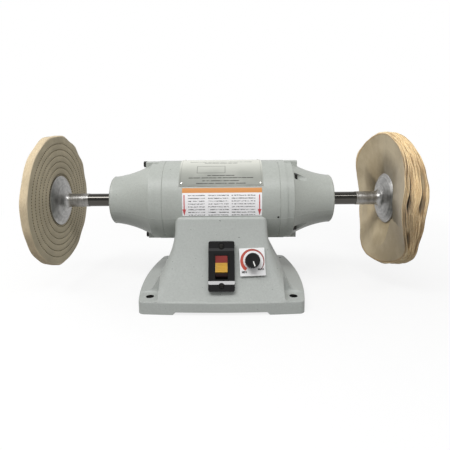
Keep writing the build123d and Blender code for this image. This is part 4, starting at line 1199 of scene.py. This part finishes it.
@dataclass
class SewnWheel:
    """Firm cloth wheel on the left arbor, quilted by rows of stitching."""

    face_x: float = -0.254
    thickness: float = 0.0118
    bore: float = 0.00802
    radius: float = 0.1016
    clamp: float = 0.0392
    hub_sink: float = 0.0025
    sink_run: float = 0.0030
    first_row: float = 0.0890
    row_pitch: float = 0.0094
    rows: int = 6
    row_shares: tuple[float, ...] = (-0.5, -0.4, -0.28, -0.18, -0.1, -0.05, 0.0, 0.05, 0.1, 0.18,
                                     0.28, 0.4)
    margin_shares: tuple[float, ...] = (0.0, 0.25, 0.5, 0.72, 0.88)
    groove: float = 0.0003
    groove_share: float = 0.08
    puff: float = 0.0001
    dimple: float = 0.0002
    dimple_share: float = 0.22
    face_depth: float = 0.003
    plies: int = 13
    ply_groove: float = 0.0005
    ply_margin: float = 0.0008
    ply_shares: tuple[float, float, float] = (0.1, 0.35, 0.7)
    rim_round: float = 0.0006
    steps: int = 360
    merge: float = 1e-6
    stitch_length: float = 0.0042
    stitch_share: float = 0.25
    stitch_sink: float = 0.7
    stitch_segments: tuple[int, int] = (6, 5)
    thread_radius: float = 0.00045
    thread_spread: float = 1.7
    lean: Pair = (-0.0018, 0.0030)
    ripple: float = 0.0008
    ripple_noise: Pair = (3.0, 40.0)
    rim_thinning: float = 0.1
    rim_wear: float = 0.0004
    rim_flats: Waves = ((0.0, 0.0), (0.0, 0.0003), (-0.0003, 0.0), (0.0002, 0.0001),
                        (0.0002, -0.0002), (0.0, 0.0002), (0.0002, 0.0), (0.0, 0.0002),
                        (0.0003, 0.0001), (0.0002, -0.0003), (-0.0002, 0.0003), (0.0003, 0.0003),
                        (-0.0004, 0.0002), (0.0, -0.0003), (0.0002, 0.0003), (-0.0003, 0.0),
                        (0.0002, 0.0002))

    def row_radii(self) -> list[float]:
        """Gives the radius of each row of stitching."""
        return [self.first_row - i * self.row_pitch for i in range(self.rows)]

    def stitch_count(self, row: float) -> int:
        """Gives the number of stitches in a row of a given radius."""
        return round(FULL_TURN * row / self.stitch_length)

    def face_line(self) -> list[Pair]:
        """Draws one face from the bore to the rim.

        Returns:
            Depth into the wheel and radius of each point.
        """
        line = [(0.0, self.bore), (0.0, self.clamp * 0.5), (0.0, self.clamp)]
        for middle in reversed(self.row_radii()):
            for share in self.row_shares:
                radius = middle + share * self.row_pitch
                if radius > self.clamp + 0.5 * self.sink_run:
                    near = math.exp(-(share / self.groove_share) ** 2)
                    swell = 0.5 - 0.5 * math.cos(FULL_TURN * share)
                    line.append((self.groove * near - self.puff * swell * (1 - near), radius))
        outer = self.first_row + 0.5 * self.row_pitch
        margin = self.radius - outer
        line += [(-self.puff * (1 - share), outer + share * margin)
                 for share in self.margin_shares]
        line.append((self.rim_round, self.radius - self.rim_round))
        return line

    def rim_line(self) -> list[Pair]:
        """Draws the rim, with a groove between plies.

        Returns:
            Depth into the wheel and radius of each point.
        """
        line = []
        pitch = (self.thickness - 2 * self.ply_margin) / self.plies
        for i in range(self.plies):
            low = self.ply_margin + i * pitch
            valley, near, far = (low + share * pitch for share in self.ply_shares)
            line += [(valley, self.radius - self.ply_groove), (near, self.radius),
                     (far, self.radius)]
        return line

    def place(self, depth: float, radius: float, angle: float) -> Pair:
        """Adds the wheel's lean, its ripple and its worn outline to a point.

        Args:
            depth: Depth into the wheel.
            radius: Radius on the true wheel.
            angle: Angle above the front in radians.

        Returns:
            The point's station and radius.
        """
        share = max(0.0, (radius - self.clamp) / (self.radius - self.clamp))
        reach, run = self.ripple_noise
        wave = ring_noise(angle, reach, run * radius) * self.ripple * share ** 2
        depth *= 1 - self.rim_thinning * share ** 4
        if depth < self.thickness / 2:
            sunk = 1 - (radius - self.clamp) / self.sink_run
            depth += self.hub_sink * min(1.0, max(0.0, sunk))
        front, up = self.lean
        tilt = share * (front * math.cos(angle) + up * math.sin(angle))
        worn = harmonics(angle, self.rim_flats) * share ** 6
        return self.face_x - depth + tilt + wave, radius + worn - self.rim_wear * share ** 6

    def build(self) -> None:
        """Builds the quilted wheel and its stitching."""
        face = self.face_line()
        back = [(self.thickness - depth, radius) for depth, radius in reversed(face)]
        profile = [(-depth, radius) for depth, radius in face + self.rim_line() + back]
        bm = bmesh.new()
        turn_profile(bm, profile, self.steps)
        rows = self.row_radii()
        for vert in bm.verts:
            radius, angle = about_spindle(vert.co)
            depth = -vert.co.x
            row = min(rows, key=lambda middle: abs(middle - radius))
            on_face = not self.face_depth < depth < self.thickness - self.face_depth
            if abs(row - radius) < self.dimple_share * self.row_pitch and on_face:
                dimple = self.dimple * abs(math.sin(0.5 * self.stitch_count(row) * angle))
                depth += dimple if depth < self.thickness / 2 else -dimple
            vert.co = spindle_point(*self.place(depth, radius, angle), angle)
        close_up(bm, self.merge)
        wheel = make_piece("sewn_wheel_cloth", bm, Body.SPINDLE, "sewn_cotton")
        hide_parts("left_buffing_wheel")
        self.build_stitching()

    def build_stitching(self) -> None:
        """Builds the separate stitches of every row on both faces."""
        whole = bmesh.new()
        size = Matrix.Diagonal((self.thread_radius, self.thread_spread * self.thread_radius,
                                self.stitch_share * self.stitch_length, 1))
        sunk = self.groove * self.stitch_sink
        round_steps, long_steps = self.stitch_segments
        for row in self.row_radii():
            count = self.stitch_count(row)
            for depth in (sunk, self.thickness - sunk):
                bm = bmesh.new()
                for i in range(count):
                    angle = FULL_TURN * (i + 0.5) / count
                    spot = spindle_point(*self.place(depth, row, angle), angle)
                    place = Matrix.Translation(spot) @ Matrix.Rotation(-angle, 4, "X") @ size
                    bmesh.ops.create_uvsphere(bm, u_segments=round_steps,
                                              v_segments=long_steps, radius=1.0, matrix=place)
                gather(whole, bm)
        make_piece("sewn_wheel_stitching", whole, Body.SPINDLE, "sewn_cotton", STITCH_THREAD_AND_SHADE_FINISH)


@dataclass(frozen=True)
class Fold:
    """Gap that opens between two bundles of plies along part of the rim, angles in degrees."""

    centre: float
    half: float
    width: float
    depth: float

    def opening(self, angle: float) -> float:
        """Gives how far the fold has opened at an angle, from 0 to 1."""
        return hump(angle, self.centre, self.half)


@dataclass
class LooseWheel:
    """Loose cloth wheel on the right arbor, whose plies splay and wave in three bundles."""

    hub_inner: float = 0.2565
    hub_outer: float = 0.272
    bore: float = 0.00802
    clamp: float = 0.0400
    radius: float = 0.1022
    skirt: float = 0.084
    inner_mean: float = 0.2447
    outer_mean: float = 0.2718
    inner_waves: Waves = ((0.00211, -0.00274), (-0.0008, -0.00121), (-0.00609, -0.00317),
                          (-0.00105, 0.00255), (-0.00128, 0.00061))
    outer_waves: Waves = ((-0.00018, -0.00427), (0.00192, -0.00036), (-0.00132, 0.00185),
                          (-0.0002, 0.00141), (0.0006, -0.0004), (-0.0004, 0.0006),
                          (0.0006, 0.0003), (-0.0005, -0.0004))
    rim_waves: Waves = ((0.0, 0.0), (0.0, 0.0), (0.0002, 0.0), (0.0, 0.0002), (0.0003, 0.0),
                        (0.0, 0.0004), (0.0004, -0.0002), (-0.0002, 0.0004), (0.0004, 0.0002),
                        (0.0, -0.0004), (-0.0003, 0.0003))
    rim_wear: float = 0.0008
    bundles: tuple[int, int, int] = (6, 13, 6)
    inner_folds: tuple[Fold, ...] = (
        Fold(3, 10, 0.0030, 0.0040), Fold(16, 18, 0.0010, 0.0020), Fold(-27, 13, 0.0016, 0.0030),
        Fold(80, 26, 0.0010, 0.0030), Fold(140, 30, 0.0022, 0.0030),
        Fold(205, 24, 0.0016, 0.0040), Fold(262, 30, 0.0012, 0.0030))
    outer_folds: tuple[Fold, ...] = (
        Fold(2, 11, 0.0026, 0.0060), Fold(17, 18, 0.0010, 0.0044), Fold(-48, 26, 0.0006, 0.0016),
        Fold(110, 30, 0.0012, 0.0034), Fold(185, 34, 0.0016, 0.0040),
        Fold(240, 22, 0.0012, 0.0030))
    fold_reach: float = 2.0
    fray: float = 0.0009
    fray_noise: Pair = (4.0, 2.3)
    tuft: float = 0.0024
    tuft_noise: Pair = (2.6, 0.62)
    side_wear: float = 0.0016
    ply: float = 0.00078
    ply_flat: float = 0.4
    ply_variation: float = 0.45
    ply_noise: tuple[float, float, float] = (1.7, 3.1, 5.0)
    steps: int = 240
    merge: float = 1e-7
    lean_growth: float = 1.2
    wave_growth: float = 2.0
    soft_wrinkle: float = 0.0012
    soft_noise: Pair = (2.2, 18.0)
    fine_wrinkle: float = 0.0005
    fine_noise: Pair = (70.0, 4.0)
    hub_ring: float = 0.025
    face_rings: int = 28
    face_pitch: float = 0.0021
    face_end: float = 0.1005
    skirt_rings: tuple[float, ...] = (0.088, 0.092, 0.096, 0.0985, 0.1002)

    def edge_x(self, angle: float) -> Pair:
        """Gives the stations of the inner and outer faces at the rim."""
        return (self.inner_mean + harmonics(angle, self.inner_waves),
                self.outer_mean + harmonics(angle, self.outer_waves))

    def spread(self, radius: float) -> float:
        """Gives how far out a place is, from 0 at the clamp to 1 at the rim."""
        return max(0.0, (radius - self.clamp) / (self.radius - self.clamp))

    def gap(self, folds: Iterable[Fold], angle: float) -> float:
        """Gives the width of the gap between two bundles at an angle."""
        return sum(fold.width * fold.opening(angle) for fold in folds)

    def ply_bundle(self, index: int) -> int:
        """Finds the bundle that a ply lies in.

        Args:
            index: The ply's number from the inner face.

        Returns:
            The bundle's number from the inner face.
        """
        for bundle, count in enumerate(self.bundles):
            if index < count:
                return bundle
            index -= count
        raise ValueError(index)

    def ply_stack(self, angle: float) -> list[float]:
        """Stacks the plies at the rim.

        Args:
            angle: Angle above the front in radians.

        Returns:
            The middle of each ply, as a share from the inner face to the outer one.
        """
        inner, outer = self.edge_x(angle)
        gaps = (self.gap(self.inner_folds, angle), self.gap(self.outer_folds, angle))
        free = outer - inner - sum(gaps)
        reach, run, shift = self.ply_noise
        weights = [1 + self.ply_variation * ring_noise(angle, reach, run * i, shift * i)
                   for i in range(sum(self.bundles))]
        pitch = free / sum(weights)
        shares, walked = [], 0.0
        for i, weight in enumerate(weights):
            passed = sum(gaps[:self.ply_bundle(i)])
            shares.append((walked + passed + 0.5 * weight * pitch) / (outer - inner))
            walked += weight * pitch
        return shares

    def ply_radius(self, index: int, angle: float) -> float:
        """Gives a ply's worn radius, drawn in along the folds and at the wheel's two sides.

        Args:
            index: The ply's number from the inner face.
            angle: Angle above the front in radians.

        Returns:
            The radius of the ply's edge.
        """
        drawn, boundary = 0.0, 0
        for count, folds in zip(self.bundles, (self.inner_folds, self.outer_folds)):
            boundary += count
            off = (index + 0.5 - boundary) / self.fold_reach
            depth = sum(fold.depth * fold.opening(angle) for fold in folds)
            drawn += depth * math.exp(-off * off)
        side = 2 * (index + 0.5) / sum(self.bundles) - 1
        fray = 0.0
        for size, (reach, run) in ((self.fray, self.fray_noise), (self.tuft, self.tuft_noise)):
            fray += size * ring_noise(angle, reach, run * index)
        worn = harmonics(angle, self.rim_waves) - self.rim_wear
        return self.radius + worn - drawn - self.side_wear * side ** 6 + fray

    def wrinkle(self, radius: float, angle: float) -> float:
        """Gives the soft unevenness of the cloth.

        Args:
            radius: Radius of the place.
            angle: Its angle above the front in radians.

        Returns:
            The offset along the spindle.
        """
        share = self.spread(radius) ** self.wave_growth
        reach, run = self.soft_noise
        soft = ring_noise(angle, reach, run * radius)
        run, depth = self.fine_noise
        fine = ring_noise(angle, run * radius, depth)
        return share * (self.soft_wrinkle * soft + self.fine_wrinkle * fine)

    def side_line(self, full: bool) -> list[float]:
        """Draws one side of a ply from its root to its rim.

        Args:
            full: Whether the side is a face of the wheel, which starts at the bore.

        Returns:
            The radii of its points.
        """
        if not full:
            return [self.skirt, *self.skirt_rings]
        rings = [self.clamp + i * self.face_pitch for i in range(1, self.face_rings + 1)]
        return [self.bore, self.hub_ring, self.clamp, *rings, self.face_end]

    def build(self) -> None:
        """Builds every ply as a closed turned sheet and waves it into place."""
        count = sum(self.bundles)
        stacks = [self.ply_stack(FULL_TURN * i / self.steps) for i in range(self.steps)]
        whole = bmesh.new()
        half = 0.5 * self.ply
        flat = self.ply_flat * half
        for index in range(count):
            near = self.side_line(index == 0)
            far = self.side_line(index == count - 1)
            profile = [(-half, radius) for radius in near]
            profile += [(-flat, self.radius), (flat, self.radius)]
            profile += [(half, radius) for radius in reversed(far)]
            bm = bmesh.new()
            for vert in turn_profile(bm, profile, self.steps):
                self.set_ply_vert(vert, index, stacks)
            close_up(bm, self.merge)
            gather(whole, bm)
        wheel = make_piece("loose_wheel_cloth", whole, Body.SPINDLE, "loose_cotton")
        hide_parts("right_buffing_wheel")

    def set_ply_vert(self, vert: bmesh.types.BMVert, index: int,
                     stacks: list[list[float]]) -> None:
        """Moves one vertex of a flat ply to its place in the waved stack.

        Args:
            vert: The vertex, with its depth in the ply as x.
            index: The ply's number from the inner face.
            stacks: Places of the plies at each step round the rim.
        """
        radius, angle = about_spindle(vert.co)
        stack = stacks[round(angle / FULL_TURN * self.steps) % self.steps]
        inner, outer = self.edge_x(angle)
        spread = self.spread(radius)
        hub = self.hub_inner + (index + 0.5) / len(stack) * (self.hub_outer - self.hub_inner)
        rim = inner + stack[index] * (outer - inner)
        mean = self.inner_mean + stack[index] * (self.outer_mean - self.inner_mean)
        x = hub + (mean - hub) * spread ** self.lean_growth
        x += (rim - mean) * spread ** self.wave_growth
        x += vert.co.x + self.wrinkle(radius, angle)
        edge = (radius - self.skirt) / (self.radius - self.skirt)
        if edge > 0:
            radius -= (self.radius - self.ply_radius(index, angle)) * edge ** 2
        vert.co = spindle_point(x, radius, angle)


@dataclass
class Spindle:
    """Threads on the spindle's two free ends."""

    thread_pitch: float = 0.00231
    thread_root: float = 0.0078
    thread_crest: float = 0.00828
    thread_half: float = 0.42
    crest_share: float = 0.1
    thread_steps: int = 36
    thread_end: float = 0.2985
    end_turns: float = 0.6
    left_start: float = 0.2862
    right_start: float = 0.2924

    def build(self) -> None:
        """Builds the threads on both free ends of the arbor."""
        self.build_thread(Side.LEFT, self.left_start)
        self.build_thread(Side.RIGHT, self.right_start)

    def build_thread(self, side: Side, start: float) -> None:
        """Builds one helical ridge.

        Args:
            side: End of the spindle.
            start: Distance from the middle where the ridge leaves the nut.
        """
        bm = bmesh.new()
        turns = (self.thread_end - start) / self.thread_pitch - self.end_turns
        half = self.thread_half * self.thread_pitch
        crest = self.crest_share * half
        begin = start + half
        shape = [(begin - half, self.thread_root), (begin - crest, self.thread_crest),
                 (begin + crest, self.thread_crest), (begin + half, self.thread_root)]
        points = [bm.verts.new((side.value * x, -radius, SHAFT_Z)) for x, radius in shape]
        section = bm.faces.new(points)
        steps = int(self.thread_steps * turns)
        drift = Vector((side.value * turns * self.thread_pitch / steps, 0, 0))
        bmesh.ops.spin(bm, geom=[section], cent=(0, 0, SHAFT_Z), axis=(side.value, 0, 0),
                       dvec=drift, angle=FULL_TURN * turns, steps=steps, use_duplicate=False)
        bmesh.ops.recalc_face_normals(bm, faces=bm.faces)
        make_piece(f"{side.name.lower()}_arbor_thread", bm, Body.SPINDLE, "ground_steel",
                   smooth=False)


@dataclass
class SafetyKey:
    """Grip ribs on the pull-out key's framed face."""

    face_height: float = 0.0128
    face_up: float = -0.0030
    rib_length: float = 0.0104
    rib_width: float = 0.0011
    rib_height: float = 0.0007
    rib_round: float = 0.00025
    rib_pitch: float = 0.0022
    ribs: int = 4

    def build(self) -> None:
        """Builds the row of rounded ribs."""
        plane = PanelPlane(joint("rocker_tilt").centre, joint("key_pull").normal)
        size = Matrix.Diagonal((self.rib_length, self.rib_width, self.rib_height, 1))
        bm = bmesh.new()
        for i in range(self.ribs):
            up = self.face_up + (i - (self.ribs - 1) / 2) * self.rib_pitch
            place = plane.matrix(0, up, self.face_height)
            rib = bmesh.ops.create_cube(bm, size=1.0, matrix=place @ size)
            edges = {edge for vert in rib["verts"] for edge in vert.link_edges}
            bmesh.ops.bevel(bm, geom=list(edges), offset=self.rib_round, offset_type="OFFSET",
                            segments=2, profile=0.5, affect="EDGES", material=-1)
        make_piece("safety_key_ribs", bm, Body.KEY, "yellow_plastic")


@dataclass
class DialMarks:
    """Two plain words for the ends of the dial's range."""

    words: tuple[tuple[str, float, float], ...] = (("MIN", -0.0112, -0.0153),
                                                   ("MAX", 0.0116, -0.0113))
    letter_size: float = 0.0040
    letter_weight: float = 0.00016
    letter_depth: float = 0.00003
    plate_top: float = 0.00042
    word_turn: float = 2.0

    def letters(self, word: str) -> bmesh.types.BMesh:
        """Cuts one word as a flat mesh about the origin.

        Args:
            word: The word.

        Returns:
            Its mesh.
        """
        curve = bpy.data.curves.new("dial_word", "FONT")
        curve.body = word
        curve.size = self.letter_size
        curve.extrude = self.letter_depth
        curve.offset = self.letter_weight
        curve.align_x = curve.align_y = "CENTER"
        holder = bpy.data.objects.new("dial_word", curve)
        bpy.context.scene.collection.objects.link(holder)
        bpy.context.view_layer.update()
        shown = holder.evaluated_get(bpy.context.evaluated_depsgraph_get())
        mesh = bpy.data.meshes.new_from_object(shown)
        bpy.data.objects.remove(holder)
        bm = bmesh.new()
        bm.from_mesh(mesh)
        bpy.data.meshes.remove(mesh)
        return bm

    def build(self) -> None:
        """Builds each word on the dial plate."""
        plane = joint("knob_turn")
        for word, across, up in self.words:
            bm = self.letters(word)
            place = plane.matrix(across, up, self.plate_top, math.radians(self.word_turn))
            bmesh.ops.transform(bm, matrix=place, verts=bm.verts)
            make_piece(f"dial_{word.lower()}_word", bm, Body.MACHINE, "black_plastic",
                       INK_FINISH, smooth=False)


@dataclass
class CadDress:
    """Finishes of the nodes that come from the CAD model."""

    special: dict[str, Finish]

    def dress(self) -> None:
        """Gives each node the finish of its material slot, or its own special one."""
        for part in frame["record"]["subparts"]:
            node = frame["nodes"][part["node"]]
            finish = self.special.get(part["node"]) or FINISHES[part["material_slot"]]
            node.data.materials.clear()
            node.data.materials.append(finish.material())


@dataclass(frozen=True)
class Softbox:
    """Lamp that faces the machine, its place and size in metres and its power in watts."""

    name: str
    place: Point
    size: Pair
    power: float

    def hang(self) -> None:
        """Hangs the lamp in the studio."""
        lamp = bpy.data.lights.new(self.name, "AREA")
        lamp.shape = "RECTANGLE"
        lamp.size, lamp.size_y = self.size
        lamp.energy = self.power
        holder = bpy.data.objects.new(self.name, lamp)
        holder.location = self.place
        aim = Vector((0, 0, SHAFT_Z)) - Vector(self.place)
        holder.rotation_euler = aim.to_track_quat("-Z", "Y").to_euler()
        bpy.context.scene.collection.objects.link(holder)


@dataclass
class Studio:
    """Floor, lights, world and camera."""

    floor_half: float = 6.0
    floor_z: float = -0.0002
    floor_tones: Pair = (0.90, 0.94)
    floor_grain: float = 40.0
    floor_bounce: float = 0.25
    glow_run: Pair = (0.3, 1.0)
    glow_near: float = 0.8
    glow_mirrored: float = 0.7
    dome_level: float = 0.46
    mirror_lean: Pair = (0.80, 0.45)
    mirror_run: Pair = (0.30, 0.80)
    mirror_levels: Pair = (0.30, 0.80)
    lamps: tuple[Softbox, ...] = (
        Softbox("key_softbox", (-0.36, -0.94, 1.40), (1.2, 0.46), 15.2),
        Softbox("left_fill", (-1.40, 0.35, 0.60), (0.8, 0.8), 7.5),
        Softbox("right_strip", (0.50, -0.94, 1.40), (0.9, 0.16), 3.8))
    camera_place: Point = (0.01340, -0.59007, 0.23121)
    pitch: float = 8.576
    yaw: float = -0.819
    roll: float = 0.574
    focal_pixels: float = 377.95
    image_pixels: float = 450.0
    centre_row: float = 198.80
    sensor: float = 36.0
    clip: Pair = (0.01, 50.0)

    def build(self) -> None:
        """Sets up everything round the machine."""
        self.build_floor()
        self.build_world()
        for lamp in self.lamps:
            lamp.hang()
        self.add_camera()
        bpy.context.scene.view_settings.view_transform = "Standard"

    def build_floor(self) -> None:
        """Lays a white floor that keeps the machine's shadow."""
        bm = bmesh.new()
        bmesh.ops.create_grid(bm, x_segments=1, y_segments=1, size=self.floor_half,
                              matrix=Matrix.Translation((0, 0, self.floor_z)))
        mesh = bpy.data.meshes.new("floor")
        bm.to_mesh(mesh)
        bm.free()
        floor = bpy.data.objects.new("floor", mesh)
        bpy.context.scene.collection.objects.link(floor)
        mesh.materials.append(self.floor_material())

    def floor_material(self) -> bpy.types.Material:
        """Lays out the floor's nodes: pale to the eye, darker as a bounce of light.

        Returns:
            The floor's material.
        """
        tree = FinishTree("floor_white")
        rays = tree.node("LightPath", {}).outputs
        seen = tree.most(rays["Is Camera Ray"], rays["Is Transmission Ray"])
        dark, light = (grey(tone) for tone in self.floor_tones)
        pale = tree.mix(tree.noise(self.floor_grain, 2.0), dark, light)
        tree.shader_inputs(Base_Color=tree.mix(seen, grey(self.floor_bounce), pale),
                           Roughness=0.8, Specular_IOR_Level=0.1)
        glow = tree.node("Emission", {"Color": WHITE, "Strength": 1.0})
        away = tree.node("VectorMath", {0: tree.point}, operation="LENGTH").outputs["Value"]
        shown = tree.product(seen, tree.span(away, *self.glow_run, self.glow_near, 1.0))
        shown = tree.most(shown, tree.product(rays["Is Glossy Ray"], self.glow_mirrored))
        tree.show(tree.node("MixShader", {0: shown, 1: tree.shader.outputs[0],
                                          2: glow.outputs[0]}))
        return tree.material

    def build_world(self) -> None:
        """Sets a surround that is white to the eye, even as light and brighter in mirrors."""
        world = bpy.data.worlds.new("studio")
        bpy.context.scene.world = world
        world.use_nodes = True
        tree = Tree(world.node_tree)
        rays = tree.node("LightPath", {}).outputs
        _, back, up = tree.split(tree.node("TexCoord", {}).outputs["Generated"])
        back_share, up_share = self.mirror_lean
        behind = tree.math("ADD", tree.product(back, back_share), tree.product(up, up_share))
        mirror = tree.span(behind, *self.mirror_run, *self.mirror_levels, Ramp.EVEN)
        unseen = tree.span(rays["Is Glossy Ray"], 0.0, 1.0, self.dome_level, mirror, Ramp.EVEN)
        seen = tree.most(rays["Is Camera Ray"], rays["Is Transmission Ray"])
        level = tree.span(seen, 0.0, 1.0, unseen, 1.0, Ramp.EVEN)
        background = tree.node("Background", {"Color": WHITE, "Strength": level})
        tree.node("OutputWorld", {0: background.outputs[0]})

    def add_camera(self) -> None:
        """Sets the camera where the photograph was taken."""
        data = bpy.data.cameras.new("camera")
        data.sensor_width = self.sensor
        data.lens = self.sensor * self.focal_pixels / self.image_pixels
        data.shift_y = (self.centre_row - self.image_pixels / 2) / self.image_pixels
        data.clip_start, data.clip_end = self.clip
        pitch, yaw, roll = (math.radians(angle) for angle in (self.pitch, self.yaw, self.roll))
        ahead = Vector((math.sin(yaw) * math.cos(pitch), math.cos(yaw) * math.cos(pitch),
                        -math.sin(pitch)))
        level = Vector((math.cos(yaw), -math.sin(yaw), 0))
        down = ahead.cross(level)
        right = level * math.cos(roll) + down * math.sin(roll)
        up = level * math.sin(roll) - down * math.cos(roll)
        axes = Matrix((right, up, -ahead)).transposed().to_4x4()
        camera = bpy.data.objects.new("camera", data)
        camera.matrix_world = Matrix.Translation(self.camera_place) @ axes
        bpy.context.scene.collection.objects.link(camera)
        bpy.context.scene.camera = camera


def main() -> None:
    """Builds the studio and the machine's pieces in order."""
    logging.basicConfig(level=logging.INFO, format="%(name)s: %(message)s")
    Studio().build()
    CadDress({"dial_plate": DIAL_FINISH}).dress()
    SewnWheel().build()
    LooseWheel().build()
    Spindle().build()
    SafetyKey().build()
    DialMarks().build()


if __name__ == "__main__":
    main()
